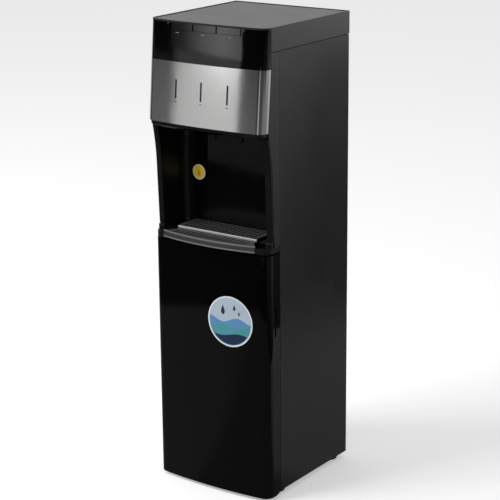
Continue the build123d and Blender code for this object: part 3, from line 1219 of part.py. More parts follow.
def evaporator():
    """Sleeve of cooling tube round the cold tank."""
    z0 = TANK_LOW_Z + SLEEVE_RISE
    sleeve = disc(COLD_X, COLD_Y, z0, COLD_RADIUS + EVAPORATOR_WALL, EVAPORATOR_HEIGHT)
    return sleeve - disc(COLD_X, COLD_Y, z0 - 1, COLD_RADIUS, EVAPORATOR_HEIGHT + 2)


def hot_tank():
    """Stainless tank with its drain pipe out to the back."""
    tank = disc(HOT_X, HOT_Y, TANK_LOW_Z, HOT_RADIUS, TANK_HEIGHT)
    tank = fillet(tank.edges().filter_by(GeomType.CIRCLE), HOT_EDGE)
    inside = TANK_HEIGHT - 2 * TANK_WALL
    tank = tank - disc(HOT_X, HOT_Y, TANK_LOW_Z + TANK_WALL, HOT_RADIUS - TANK_WALL, inside)
    points = [(DRAIN_X, HOT_Y, TANK_LOW_Z + 1), (DRAIN_X, HOT_Y, DRAIN_Z),
              (DRAIN_X, PANEL_Y + DRAIN_STICK, DRAIN_Z)]
    return tank + tube(points, DRAIN_RADIUS, DRAIN_BORE, DRAIN_BEND)


def heater_band():
    """Heating band round the hot tank, with its terminal block at the back."""
    z0 = TANK_LOW_Z + SLEEVE_RISE
    ring = disc(HOT_X, HOT_Y, z0, HOT_RADIUS + HEATER_WALL, HEATER_HEIGHT)
    ring = ring - disc(HOT_X, HOT_Y, z0 - 1, HOT_RADIUS, HEATER_HEIGHT + 2)
    w, d, h = TERMINAL_SIZE
    skin = HOT_Y + HOT_RADIUS
    low = z0 + (HEATER_HEIGHT - h) / 2
    return ring + block(HOT_X - w / 2, HOT_X + w / 2, skin + HEATER_WALL / 4, skin + d, low, low + h)


def foam_jacket(x, y, radius, liner):
    """Foam round one tank."""
    low = TANK_SHELF_Z + SHEET
    jacket = disc(x, y, low, radius + FOAM, TANK_TOP_Z + FOAM - low)
    return jacket - disc(x, y, TANK_LOW_Z, radius + liner, TANK_HEIGHT)


def tank_insulation():
    """Foam jackets of both tanks, with holes for the pipes."""
    hot_x, _, cold_x = spout_places()
    hot = foam_jacket(HOT_X, HOT_Y, HOT_RADIUS, HEATER_WALL + JOINT_GAP)
    hot = hot - disc(DRAIN_X, HOT_Y, TANK_SHELF_Z, DRAIN_RADIUS + MOVE_GAP, TANK_LOW_Z + 1 - TANK_SHELF_Z)
    front = HOT_Y - HOT_RADIUS - FOAM
    hot = hot - disc_y(hot_x, front, LINE_Z, LINE_RADIUS + JOINT_GAP, FOAM + HOT_RADIUS / 4)
    w, d, h = TERMINAL_SIZE
    half = w / 2 + TERMINAL_GAP
    skin = HOT_Y + HOT_RADIUS
    low = TANK_LOW_Z + SLEEVE_RISE + (HEATER_HEIGHT - h) / 2 - TERMINAL_GAP
    high = low + h + 2 * TERMINAL_GAP
    hot = hot - block(HOT_X - half, HOT_X + half, skin, skin + d + TERMINAL_GAP, low, high)
    cold = foam_jacket(COLD_X, COLD_Y, COLD_RADIUS, EVAPORATOR_WALL)
    cold = cold - disc_y(cold_x, COLD_Y - COLD_RADIUS - FOAM, LINE_Z, LINE_RADIUS + JOINT_GAP, FOAM)
    return [hot, cold]


def compressor():
    """Domed compressor shell with its terminal box."""
    z0 = SHELF_Z + SHEET + MOUNT_HEIGHT
    shell = disc(COMPRESSOR_X, COMPRESSOR_Y, z0, SHELL_RADIUS, COMPRESSOR_HEIGHT)
    shell = fillet(shell.edges().group_by(Axis.Z)[-1], SHELL_DOME)
    foot = RectangleRounded(COMPRESSOR_FOOT, COMPRESSOR_FOOT, MOUNT_EDGE + 2)
    foot = extrude(Pos(COMPRESSOR_X, COMPRESSOR_Y, z0) * foot, amount=COMPRESSOR_PLATE)
    w, d, h = TERMINAL_BOX
    front = COMPRESSOR_Y - SHELL_RADIUS
    low = z0 + TERMINAL_BOX_RISE
    terminals = block(COMPRESSOR_X - w / 2, COMPRESSOR_X + w / 2, front - d, front + d / 2, low, low + h)
    return shell + foot + terminals


def compressor_mounts():
    """Rubber mounts between the compressor's foot and the shelf."""
    pieces = []
    reach = COMPRESSOR_FOOT / 2 - MOUNT_EDGE
    for dx in (-reach, reach):
        for dy in (-reach, reach):
            place = (COMPRESSOR_X + dx, COMPRESSOR_Y + dy, SHELF_Z + SHEET)
            pieces.append(disc(*place, MOUNT_RADIUS, MOUNT_HEIGHT))
    return pieces


def condenser_tube():
    """Serpentine tube on the back, with its two ends led in through the rear panel."""
    edges = []
    z = COIL_LOW_Z
    side = 1
    reach = COIL_HALF - COMPRESSOR_X - COIL_RADIUS
    inlet_y = COMPRESSOR_Y + math.sqrt(SHELL_RADIUS ** 2 - reach ** 2)
    bend = COIL_PITCH / 4
    quarter = bend * (1 - math.cos(math.pi / 4))
    edges.append(Line((COIL_HALF, inlet_y, z), (COIL_HALF, COIL_Y - bend, z)))
    edges.append(ThreePointArc((COIL_HALF, COIL_Y - bend, z), (COIL_HALF - quarter, COIL_Y - quarter, z),
                               (COIL_HALF - bend, COIL_Y, z)))
    for run in range(COIL_RUNS):
        first = side * (COIL_HALF - bend) if run == 0 else side * COIL_HALF
        last = -side * (COIL_HALF - bend) if run == COIL_RUNS - 1 else -side * COIL_HALF
        edges.append(Line((first, COIL_Y, z), (last, COIL_Y, z)))
        if run < COIL_RUNS - 1:
            turn = COIL_PITCH / 2
            edges.append(ThreePointArc((last, COIL_Y, z), (last - side * turn, COIL_Y, z + turn),
                                       (last, COIL_Y, z + COIL_PITCH)))
            z = z + COIL_PITCH
            side = -side
    end = -side * COIL_HALF
    edges.append(ThreePointArc((end + side * bend, COIL_Y, z), (end + side * quarter, COIL_Y - quarter, z),
                               (end, COIL_Y - bend, z)))
    edges.append(Line((end, COIL_Y - bend, z), (end, REAR_Y - COIL_INLET, z)))
    path = Wire(edges)
    gap = least_gap(path, COIL_RADIUS, math.pi * COIL_PITCH / 2)
    print("condenser, least gap between runs", round(gap, 2))
    section = Plane(origin=(COIL_HALF, inlet_y, COIL_LOW_Z), z_dir=(0, 1, 0)) * Circle(COIL_RADIUS)
    return sweep(section, path=path)


def condenser_wires():
    """Upright wires along the back of the serpentine."""
    pieces = []
    low = COIL_LOW_Z - WIRE_MARGIN
    high = COIL_LOW_Z + (COIL_RUNS - 1) * COIL_PITCH + WIRE_MARGIN
    y = COIL_Y + COIL_RADIUS + WIRE_RADIUS
    reach = COIL_HALF - WIRE_EDGE
    for index in range(WIRE_COUNT):
        x = -reach + index * 2 * reach / (WIRE_COUNT - 1)
        pieces.append(disc(x, y, low, WIRE_RADIUS, high - low))
    return pieces


def condenser_brackets():
    """Clips that hold the serpentine off the rear panel."""
    w, h = CLIP_SIZE
    pieces = []
    for run in (1, COIL_RUNS - 2):
        z = COIL_LOW_Z + run * COIL_PITCH
        for x in (-COIL_HALF + CLIP_EDGE, COIL_HALF - CLIP_EDGE):
            clip = block(x - w / 2, x + w / 2, PANEL_Y, COIL_Y, z - h / 2, z + h / 2)
            pieces.append(clip - Pos(x, COIL_Y, z) * Rot(0, 90, 0) * Cylinder(COIL_RADIUS + PIN_FIT, w + 8))
    return pieces


# ---------------------------------------------------------------- rear fittings
def rocker_places():
    """X of the two rear switches."""
    return [PLATE_X - ROCKER_PITCH / 2, PLATE_X + ROCKER_PITCH / 2]


def rocker_plate():
    """Plate with two windows for the power switches."""
    w, d, h = PLATE_SIZE
    plate = block(PLATE_X - w / 2, PLATE_X + w / 2, PANEL_Y, PANEL_Y + d, PLATE_Z - h / 2, PLATE_Z + h / 2)
    plate = fillet(plate.edges().filter_by(Axis.Y), PLATE_ROUND)
    reach, rise = w / 2 - PLATE_RIM, h / 2 - PLATE_RIM
    y0, z0, z1 = PANEL_Y - COLLAR_DEPTH, PLATE_Z - rise, PLATE_Z + rise
    plate = plate + block(PLATE_X - reach, PLATE_X + reach, y0, PANEL_Y + 1, z0, z1)
    half = ROCKER_SIZE[0] / 2 + JOINT_GAP
    low, high = PLATE_Z - WINDOW_HEIGHT / 2, PLATE_Z + WINDOW_HEIGHT / 2
    for x in rocker_places():
        plate = plate - block(x - half, x + half, PANEL_Y - COLLAR_DEPTH + 2, PANEL_Y + d + 2, low, high)
    return plate


def rocker(x):
    """Rocker with a raised middle and a narrower foot inside its window."""
    w, h = ROCKER_SIZE
    tip, foot = h / 2 - ROCKER_TIP, h / 2 - ROCKER_TAPER
    y = PANEL_Y + 1
    back, edge, crown = y - ROCKER_DEPTH, y + ROCKER_EDGE, y + ROCKER_CROWN
    outline = Polyline((back, PLATE_Z - foot), (edge, PLATE_Z - tip), (crown, PLATE_Z),
                       (edge, PLATE_Z + tip), (back, PLATE_Z + foot), close=True)
    side = Plane.YZ * make_face(outline)
    return Pos(x - w / 2, 0, 0) * extrude(side, amount=w, dir=(1, 0, 0))


def cord_gland():
    """Bush in the rear panel for the mains lead."""
    flange = disc_y(GLAND_X, PANEL_Y, GLAND_Z, GLAND_RADIUS + 1, GLAND_FLANGE)
    flange = chamfer(flange.edges().group_by(Axis.Y)[-1], GLAND_EDGE)
    radius = GLAND_RADIUS - GLAND_STEP - SEAT_GAP
    barrel = disc_y(GLAND_X, REAR_Y - GLAND_NECK, GLAND_Z, radius, GLAND_NECK + REAR_SHEET + 1)
    bore = disc_y(GLAND_X, REAR_Y - GLAND_NECK - 1, GLAND_Z, GLAND_BORE, GLAND_NECK + GLAND_FLANGE + 3)
    return flange + barrel - bore


def drain_cap():
    """Knurled cap on the hot tank's drain."""
    y = PANEL_Y + 1
    radius = DRAIN_RADIUS + DRAIN_CAP_WALL
    cap = disc_y(DRAIN_X, y, DRAIN_Z, radius, DRAIN_CAP_LENGTH)
    cap = chamfer(cap.edges().group_by(Axis.Y)[-1], DRAIN_CAP_EDGE)
    cap = cap - disc_y(DRAIN_X, y - 1, DRAIN_Z, DRAIN_RADIUS + PIN_FIT, DRAIN_STICK + JOINT_GAP)
    reach = radius + KNURL_RADIUS / 2
    for index in range(KNURLS):
        angle = index * 2 * math.pi / KNURLS
        x, z = DRAIN_X + reach * math.cos(angle), DRAIN_Z + reach * math.sin(angle)
        cap = cap - disc_y(x, y + 2, z, KNURL_RADIUS, DRAIN_CAP_LENGTH)
    return cap


# ---------------------------------------------------------------- write every node
save("feet", feet())
save("base_pan", base_pan())
right_side, left_side = both_sides(side_panel())
save("side_panel_right", right_side)
save("side_panel_left", left_side)
save("rear_panel", rear_panel())
save("panel_screws", panel_screws())
save("shelf", shelf())
save("tank_shelf", tank_shelf())
save("bay_floor", bay_floor())
save("top_cover", top_cover())
save("fascia", fascia())
save("steel_band", steel_band())
save("face_frame", face_frame())
save("indicator_lenses", indicator_lenses())
for number, name in enumerate(NAMES):
    save(f"key_{name}", key(number - 1))
    save(f"key_spring_{name}", key_spring(number - 1))
save("switch_board", switch_board())
save("spout_plate", spout_plate())
for name, place in zip(NAMES, spout_places()):
    save(f"spout_{name}", spout(place))
save("solenoid_valves", solenoid_valves())
save("water_lines", water_lines())
save("niche_liner", niche_liner())
save("ledge", ledge())
save("drip_tray", drip_tray())
save("tray_rim", tray_rim())
save("front_grille", front_grille())
save("rear_grille", rear_grille())
save("tray_bar", tray_bar())
save("door_panel", door_panel())
save("door_liner", door_liner())
save("hinge_bushes", hinge_bushes())
save("hinge_top", hinge_top())
save("hinge_bottom", hinge_bottom())
save("door_magnets", door_magnets())
save("probe_holder", probe_holder())
save("suction_probe", suction_probe())
save("probe_cap", probe_cap())
save("suction_hose", suction_hose())
save("pump", pump())
save("cold_tank", cold_tank())
save("evaporator", evaporator())
save("hot_tank", hot_tank())
save("heater_band", heater_band())
save("tank_insulation", tank_insulation())
save("compressor", compressor())
save("compressor_mounts", compressor_mounts())
save("condenser_tube", condenser_tube())
save("condenser_wires", condenser_wires())
save("condenser_brackets", condenser_brackets())
save("rocker_plate", rocker_plate())
for name, place in zip(("hot", "cold"), rocker_places()):
    save(f"rocker_{name}", rocker(place))
save("cord_gland", cord_gland())
save("drain_cap", drain_cap())
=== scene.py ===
# %% [markdown]
# # A bottom load water cooler
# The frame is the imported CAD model: every body, joint and solid is already in its place. Blender adds what
# the solids lack, which is finishes, stickers, small marks, light and a camera. All lengths are in metres.

# %% Load the frame
import math
import bpy
from mathutils import Matrix, Vector


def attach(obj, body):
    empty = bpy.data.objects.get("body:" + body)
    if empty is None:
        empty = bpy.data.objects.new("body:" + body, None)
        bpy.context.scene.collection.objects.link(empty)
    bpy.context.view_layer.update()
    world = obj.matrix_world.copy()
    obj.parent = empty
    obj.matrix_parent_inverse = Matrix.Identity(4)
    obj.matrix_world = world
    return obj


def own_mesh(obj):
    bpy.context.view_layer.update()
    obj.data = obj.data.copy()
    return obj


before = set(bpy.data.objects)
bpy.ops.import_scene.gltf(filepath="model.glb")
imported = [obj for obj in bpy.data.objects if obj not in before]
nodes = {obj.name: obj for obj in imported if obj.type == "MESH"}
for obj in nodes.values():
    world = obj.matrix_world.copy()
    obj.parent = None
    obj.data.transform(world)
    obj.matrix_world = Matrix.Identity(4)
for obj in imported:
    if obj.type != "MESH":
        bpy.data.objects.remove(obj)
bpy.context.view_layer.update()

MM = 0.001

# %% [markdown]
# ## The camera
# A product picture is taken from far away with a long lens, so upright edges stay almost parallel. The camera
# is given by the point it looks at, its distance, and the angles it looks from. A shift would bend those
# upright edges in other views, so the lens has none.

# %% Camera
AIM = Vector((-13.73, 12.5, 522.73)) * MM
DISTANCE = 3777.14 * MM
AZIMUTH = math.radians(35.54)      # round the object, from the front towards its right side
ELEVATION = math.radians(16.28)
ROLL = math.radians(-0.54)
LENS_MM = 118.88                   # on Blender's 36 mm sensor


def place_camera():
    """Looks at the aim point from the given angles."""
    back = Vector((
        math.sin(AZIMUTH) * math.cos(ELEVATION),
        -math.cos(AZIMUTH) * math.cos(ELEVATION),
        math.sin(ELEVATION),
    ))
    right = Vector((math.cos(AZIMUTH), math.sin(AZIMUTH), 0))
    up = back.cross(right)
    turn = Matrix((right, up, back)).transposed() @ Matrix.Rotation(ROLL, 3, "Z")
    camera = bpy.data.objects.new("camera", bpy.data.cameras.new("camera"))
    camera.data.lens = LENS_MM
    camera.data.sensor_width = 36
    camera.data.clip_end = 100
    camera.matrix_world = Matrix.Translation(AIM + back * DISTANCE) @ turn.to_4x4()
    bpy.context.collection.objects.link(camera)
    bpy.context.scene.camera = camera
    return camera


camera = place_camera()
print("camera at", [round(value, 3) for value in camera.matrix_world.translation])

# %% [markdown]
# ## A few node helpers
# A material in Blender is a small network of nodes. These helpers keep each recipe short: one adds a node and
# wires its inputs, one starts a material with a Principled shader, and the others add the patterns that most
# finishes share.

# %% Node helpers
def add(tree, kind, settings=None, **inputs):
    """Adds a node. An input is a plain value or another node's output; a number names it by its place."""
    node = tree.nodes.new(kind)
    for name, value in (settings or {}).items():
        setattr(node, name, value)
    for name, value in inputs.items():
        key = int(name[1:]) if name[0] == "_" else name.replace("_", " ").title().replace("Ior", "IOR")
        socket = node.inputs[key]
        if isinstance(value, bpy.types.NodeSocket):
            tree.links.new(value, socket)
        else:
            socket.default_value = value
    return node


def maths(tree, operation, first, second=0.0):
    """One step of arithmetic."""
    return add(tree, "ShaderNodeMath", {"operation": operation}, _0=first, _1=second).outputs[0]


def ramp(tree, value, low, high, out_low, out_high):
    """Maps a range of values to another, and holds the ends."""
    node = add(tree, "ShaderNodeMapRange", None, _0=value, _1=low, _2=high, _3=out_low, _4=out_high)
    return node.outputs[0]


def start_material(name):
    """A new material: its tree, its Principled shader and the object's own coordinates in metres."""
    material = bpy.data.materials.new(name)
    material.use_nodes = True
    tree = material.node_tree
    shader = tree.nodes["Principled BSDF"]
    place = tree.nodes.new("ShaderNodeTexCoord").outputs["Object"]
    return material, tree, shader, place


def noise(tree, place, per_metre, detail=2.0, stretch=(1, 1, 1)):
    """A soft random pattern with about so many waves per metre, stretched along an axis where asked."""
    scaled = add(tree, "ShaderNodeMapping", None, _0=place, _3=stretch).outputs[0]
    return add(tree, "ShaderNodeTexNoise", None, Vector=scaled, Scale=per_metre, Detail=detail).outputs["Fac"]


def mottle(tree, value, dark, light):
    """A colour that wanders between two colours with a pattern."""
    node = add(tree, "ShaderNodeMix", {"data_type": "RGBA"}, _0=value, _6=(*dark, 1), _7=(*light, 1))
    return node.outputs[2]


def bump(tree, shader, height, depth_mm, strength=1.0):
    """Small relief from a pattern."""
    node = add(tree, "ShaderNodeBump", None, Strength=strength, Distance=depth_mm * MM, Height=height)
    tree.links.new(node.outputs[0], shader.inputs["Normal"])
    return node


def shades(colour, spread):
    """Two colours round one, for a mottle."""
    return [c * (1 - spread) for c in colour], [min(1.0, c * (1 + spread)) for c in colour]


print("helpers ready")

# %% [markdown]
# ## Moulded plastic
# The roof and the long frame are satin plastic. Their mould was spark-eroded, which leaves a fine even grain.
# Very fine noise drives the relief, and a wide noise makes the shine wander a little, as it does on a part
# that has been handled. How strongly a plastic shines when seen head-on is a plain value on the shader.

# %% Satin and matte plastics
def moulded(name, colour, roughness, grain_mm=0.5, depth_mm=0.02, spread=0.04, shine=0.5):
    """Plastic with a fine spark-eroded grain."""
    material, tree, shader, place = start_material(name)
    patches = noise(tree, place, 14, 3)
    grain = noise(tree, place, 1000 / grain_mm, 1)
    tree.links.new(mottle(tree, patches, *shades(colour, spread)), shader.inputs["Base Color"])
    rough = ramp(tree, patches, 0.3, 0.7, roughness - 0.015, roughness + 0.015)
    tree.links.new(rough, shader.inputs["Roughness"])
    shader.inputs["Specular IOR Level"].default_value = shine
    bump(tree, shader, grain, depth_mm, 0.5)
    return material


satin_dark = moulded("satin_dark", (0.013, 0.0135, 0.0155), 0.36)
black_plastic = moulded("black_plastic", (0.006, 0.006, 0.007), 0.32, shine=0.35)
white_plastic = moulded("white_plastic", (0.70, 0.70, 0.67), 0.35, spread=0.04)
valve_body = moulded("valve_body", (0.045, 0.046, 0.05), 0.45)
rubber = moulded("rubber", (0.018, 0.018, 0.018), 0.72, grain_mm=0.9, depth_mm=0.04)
print("plastics ready")

# %% [markdown]
# ## The grilles
# The grille is grey plastic, and its slots are drawn nearly black as painted shade. The true normal tells which
# way a face looks: where it looks up the plastic keeps its grey, and where it doesn't, as inside a slot, it
# gets the painted shade. A medium noise makes the level faces' grey uneven.

# %% Grille plastic
# Painted shade: the slot colour stands for the shade inside the slots; the top colour is the plastic's own
# grey.
GRILLE_SLOT_PAINTED_SHADE = (0.0010, 0.0010, 0.0011)
GRILLE_TOP = (0.075, 0.076, 0.080)


def grille_with_painted_slot_shade():
    """Grey plastic, uneven on its level faces, with painted shade inside the slots."""
    material, tree, shader, place = start_material("grille_grey")
    normal = tree.nodes.new("ShaderNodeNewGeometry").outputs["True Normal"]
    upward = add(tree, "ShaderNodeSeparateXYZ", None, _0=normal).outputs[2]
    # Mask for the painted shade: faces that don't look up get the dark slot colour.
    unshaded_face = ramp(tree, upward, 0.5, 0.9, 0.0, 1.0)
    wear = ramp(tree, noise(tree, place, 120, 3), 0.3, 0.7, 0.6, 1.0)
    tone = mottle(tree, maths(tree, "MULTIPLY", unshaded_face, wear), GRILLE_SLOT_PAINTED_SHADE, GRILLE_TOP)
    tree.links.new(tone, shader.inputs["Base Color"])
    shader.inputs["Roughness"].default_value = 0.42
    shader.inputs["Specular IOR Level"].default_value = 0.3
    return material


grille_grey = grille_with_painted_slot_shade()
print("grille plastic ready")

# %% [markdown]
# ## Painted steel
# The side sheets are steel with a baked paint. Seen along the sheet, such paint has a soft uneven surface,
# called orange peel, whose waves are a few millimetres long. The sheet under it is never quite flat either.

# %% Painted sheet
def painted(name, colour, roughness):
    """Baked paint on sheet steel."""
    material, tree, shader, place = start_material(name)
    peel = noise(tree, place, 300, 2)
    patches = noise(tree, place, 6, 2)
    tree.links.new(mottle(tree, patches, *shades(colour, 0.10)), shader.inputs["Base Color"])
    rough = ramp(tree, patches, 0.3, 0.7, roughness - 0.02, roughness + 0.02)
    tree.links.new(rough, shader.inputs["Roughness"])
    bump(tree, shader, peel, 0.03, 0.35)
    return material


painted_side = painted("painted_side", (0.012, 0.0125, 0.0145), 0.27)
compressor_black = painted("compressor_black", (0.010, 0.010, 0.010), 0.28)
print("paint ready")

# %% [markdown]
# ## Gloss black
# The door, the niche and the plate above the band are polished black plastic. Almost all that the eye sees of
# it is reflection, so its own colour is nearly nothing. A faint wave keeps the reflections from looking like
# those of perfect glass, and fine wiping marks make the shine a little uneven. The niche's side walls came out
# of the mould sideways, so they are drawn rougher than its back wall, which is dulled by splashes low down.

# %% Gloss black
NICHE_LOW = 0.600       # the niche's floor and ceiling
NICHE_HIGH = 0.843
NICHE_SIDE = 0.112      # its side walls start this far from the middle
SIDE_DULL = 0.4         # roughness added on those walls
SPLASH_DULL = 0.16      # and low down on the back wall


def niche_dullness(tree, place):
    """Roughness added inside the niche, by place."""
    parts = add(tree, "ShaderNodeSeparateXYZ", None, _0=place).outputs
    away = maths(tree, "ABSOLUTE", parts[0])
    aside = ramp(tree, away, NICHE_SIDE - 0.004, NICHE_SIDE + 0.004, 0.0, SIDE_DULL)
    splashed = ramp(tree, parts[2], NICHE_LOW + 0.02, NICHE_LOW + 0.08, SPLASH_DULL, 0.0)
    inside = maths(tree, "MULTIPLY", maths(tree, "GREATER_THAN", parts[2], NICHE_LOW),
                   maths(tree, "LESS_THAN", parts[2], NICHE_HIGH))
    return maths(tree, "MULTIPLY", maths(tree, "MAXIMUM", aside, splashed), inside)


def gloss(name, colour, roughness):
    """Polished plastic with faint waves and wiping marks, duller on the niche's walls."""
    material, tree, shader, place = start_material(name)
    wave = noise(tree, place, 25, 1)
    wipes = noise(tree, place, 40, 3, (1, 1, 0.15))
    shader.inputs["Base Color"].default_value = (*colour, 1)
    rough = ramp(tree, wipes, 0.35, 0.75, roughness * 0.7, roughness * 1.5)
    rough = maths(tree, "ADD", rough, niche_dullness(tree, place))
    tree.links.new(rough, shader.inputs["Roughness"])
    bump(tree, shader, wave, 0.03, 0.15)
    return material


gloss_black = gloss("gloss_black", (0.0010, 0.0010, 0.0012), 0.05)
light_guide = gloss("light_guide", (0.006, 0.006, 0.0065), 0.12)
print("gloss ready")

# %% [markdown]
# ## Brushed steel
# A belt of grit drawn along the sheet leaves fine grooves. They blur reflections across the grooves and keep
# them sharp along them. Blender has this as anisotropy. Its tangent has to lie across the grooves, so the
# tangent that runs round the upright axis is turned by a quarter. Stretched noise draws the grooves. A clear
# coat against fingerprints scatters a little light, so the steel isn't quite fully metallic.

# %% Brushed steel
GROOVE_STRETCH = (0.02, 0.02, 1)


def brushed(name, colour, roughness, anisotropy):
    """Steel with grooves that run level round the part."""
    material, tree, shader, place = start_material(name)
    grooves = noise(tree, place, 1600, 2, GROOVE_STRETCH)
    streaks = noise(tree, place, 260, 2, GROOVE_STRETCH)
    tree.links.new(mottle(tree, grooves, *shades(colour, 0.025)), shader.inputs["Base Color"])
    rough = ramp(tree, streaks, 0.3, 0.7, roughness * 0.94, roughness * 1.06)
    tree.links.new(rough, shader.inputs["Roughness"])
    shader.inputs["Metallic"].default_value = 0.96
    shader.inputs["Anisotropic"].default_value = anisotropy
    shader.inputs["Anisotropic Rotation"].default_value = 0.25
    around = add(tree, "ShaderNodeTangent", {"direction_type": "RADIAL", "axis": "Z"}).outputs[0]
    tree.links.new(around, shader.inputs["Tangent"])
    bump(tree, shader, grooves, 0.006, 0.08)
    return material


steel_brushed = brushed("steel_brushed", (0.56, 0.56, 0.555), 0.12, 0.75)
tank_steel = brushed("tank_steel", (0.55, 0.55, 0.54), 0.34, 0.5)
print("brushed steel ready")

# %% [markdown]
# ## Bare and plated metal
# Zinc on hot-dipped sheet sets in flat crystals, called spangle, which Voronoi cells draw well. Chrome is
# smooth, with a little unevenness in its shine. The bar's chrome lies on plastic and is a little milky, so it
# isn't fully metallic here. Copper has darker patches.

# %% Plain metals
def metal(name, colour, roughness, spread=0.1, waves=60, metallic=1.0):
    """Smooth metal with an uneven shine."""
    material, tree, shader, place = start_material(name)
    patches = noise(tree, place, waves, 3)
    tree.links.new(mottle(tree, patches, *shades(colour, spread)), shader.inputs["Base Color"])
    rough = ramp(tree, patches, 0.3, 0.7, roughness * 0.8, roughness * 1.2)
    tree.links.new(rough, shader.inputs["Roughness"])
    shader.inputs["Metallic"].default_value = metallic
    return material


def spangled(name, colour, roughness, cell_mm=9):
    """Zinc-coated sheet."""
    material, tree, shader, place = start_material(name)
    cells = add(tree, "ShaderNodeTexVoronoi", None, Vector=place, Scale=1000 / cell_mm)
    value = add(tree, "ShaderNodeSeparateColor", None, _0=cells.outputs["Color"]).outputs[0]
    tree.links.new(mottle(tree, value, *shades(colour, 0.10)), shader.inputs["Base Color"])
    rough = ramp(tree, value, 0, 1, roughness - 0.08, roughness + 0.08)
    tree.links.new(rough, shader.inputs["Roughness"])
    shader.inputs["Metallic"].default_value = 1
    return material


chrome = metal("chrome", (0.72, 0.72, 0.73), 0.20, 0.03, metallic=0.6)
spring_steel = metal("spring_steel", (0.42, 0.42, 0.43), 0.25)
copper = metal("copper", (0.62, 0.29, 0.18), 0.33, 0.18)
heater = metal("heater", (0.42, 0.41, 0.39), 0.45, 0.15)
magnet = metal("magnet", (0.16, 0.16, 0.165), 0.40)
zinc_sheet = spangled("zinc_sheet", (0.42, 0.43, 0.44), 0.42)
print("metals ready")

# %% [markdown]
# ## The tray's silver rim
# The rim is plastic under a silver film. Its upper and lower edges are rounded, and the face between them looks
# darker. The edges are too small to model, so their highlights are painted: the film's colour follows the
# height, with a painted highlight near both edges and darker in between.

# %% Silver film
RIM_MIDDLE_Z = 0.5879
RIM_HALF = 0.0076
FILM_FACE = (0.16, 0.162, 0.17)
# Painted highlight: the colour near the rim's edges stands for the light those rounded edges catch.
FILM_PAINTED_HIGHLIGHT = (0.60, 0.605, 0.615)


def silver_film_with_painted_highlights():
    """Silver film with a painted highlight along the rim's two edges."""
    material, tree, shader, place = start_material("silver_trim")
    high = add(tree, "ShaderNodeSeparateXYZ", None, _0=place).outputs[2]
    from_middle = maths(tree, "ABSOLUTE", maths(tree, "SUBTRACT", high, RIM_MIDDLE_Z))
    # Mask for the painted highlight along the rim's two edges.
    edge = ramp(tree, from_middle, RIM_HALF * 0.45, RIM_HALF * 0.75, 0.0, 1.0)
    tree.links.new(mottle(tree, edge, FILM_FACE, FILM_PAINTED_HIGHLIGHT), shader.inputs["Base Color"])
    shader.inputs["Roughness"].default_value = 0.34
    shader.inputs["Metallic"].default_value = 0.8
    return material


silver_trim = silver_film_with_painted_highlights()
print("silver film ready")

# %% [markdown]
# ## Foam, hose and circuit board
# Foam is matte and full of small bubbles. A hose of milky silicone lets some light in, which subsurface
# scattering gives. The board is green lacquer over copper tracks, drawn here as a fine grid of bricks.

# %% Foam, hose, board
def foam_material():
    """Cut rigid foam with open bubbles."""
    material, tree, shader, place = start_material("foam")
    bubbles = add(tree, "ShaderNodeTexVoronoi", None, Vector=place, Scale=700).outputs["Distance"]
    cut = mottle(tree, bubbles, (0.55, 0.50, 0.36), (0.72, 0.67, 0.50))
    tree.links.new(cut, shader.inputs["Base Color"])
    shader.inputs["Roughness"].default_value = 0.9
    bump(tree, shader, bubbles, 0.4, 0.6)
    return material


def hose_material():
    """Milky silicone."""
    material, tree, shader, place = start_material("hose")
    haze = noise(tree, place, 90, 2)
    tree.links.new(mottle(tree, haze, (0.60, 0.62, 0.61), (0.72, 0.74, 0.73)), shader.inputs["Base Color"])
    shader.inputs["Roughness"].default_value = 0.38
    shader.inputs["Subsurface Weight"].default_value = 0.3
    shader.inputs["Subsurface Scale"].default_value = 0.002
    return material


def board_material():
    """Green lacquer with tracks under it."""
    material, tree, shader, place = start_material("board_green")
    turned = add(tree, "ShaderNodeMapping", None, _0=place, _2=(math.pi / 2, 0, 0)).outputs[0]
    tracks = add(tree, "ShaderNodeTexBrick", None, Vector=turned, Scale=120, Mortar_Size=0.03).outputs["Fac"]
    lacquer = mottle(tree, tracks, (0.010, 0.090, 0.030), (0.030, 0.180, 0.060))
    tree.links.new(lacquer, shader.inputs["Base Color"])
    shader.inputs["Roughness"].default_value = 0.3
    bump(tree, shader, tracks, 0.05, 0.3)
    return material


foam = foam_material()
hose = hose_material()
board_green = board_material()
print("foam, hose and board ready")

# %% [markdown]
# ## Dressing the solids
# Each material is named after a slot of the record, and the record says which slots a node uses. So the
# finishes go on in one loop, and a node added later is dressed as well.

# %% Dress every node
FINISHES = {material.name.split(".")[0]: material for material in (
    satin_dark, painted_side, gloss_black, black_plastic, steel_brushed, zinc_sheet, rubber, silver_trim,
    grille_grey, chrome, light_guide, white_plastic, hose, board_green, valve_body, tank_steel, spring_steel,
    copper, heater, foam, compressor_black, magnet,
)}


def dress():
    """Puts the finish of its slot on every node."""
    for node in nodes.values():
        for place in node.material_slots:
            slot = place.material.name.split(".")[0]
            place.material = FINISHES.get(slot, black_plastic)


dress()
print("dressed", len(nodes), "nodes with", len(FINISHES), "finishes")

# %% [markdown]
# ## Springs behind the keys
# Each key leans on a coil spring, whose far end stands on the switch board. A stiff coil would run into the key
# when that is pressed. So each coil is squashed along the key's way, towards the board, by as much as the key
# Here each coil's length along the key's way is measured, and the coil gets a mesh of its own.

# %% Measure the key springs
KEYS = ("hot", "room", "cold")


def seat_spring(key):
    """Measures the spring of a key along the key's way and gives it a mesh of its own."""
    spring = nodes[f"key_spring_{key}"]
    depths = [(spring.matrix_world @ vertex.co).y for vertex in spring.data.vertices]
    length = max(depths) - min(depths)
    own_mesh(spring)
    return length


for key in KEYS:
    print(f"spring of the {key} key: {seat_spring(key) / MM:.1f} mm long")

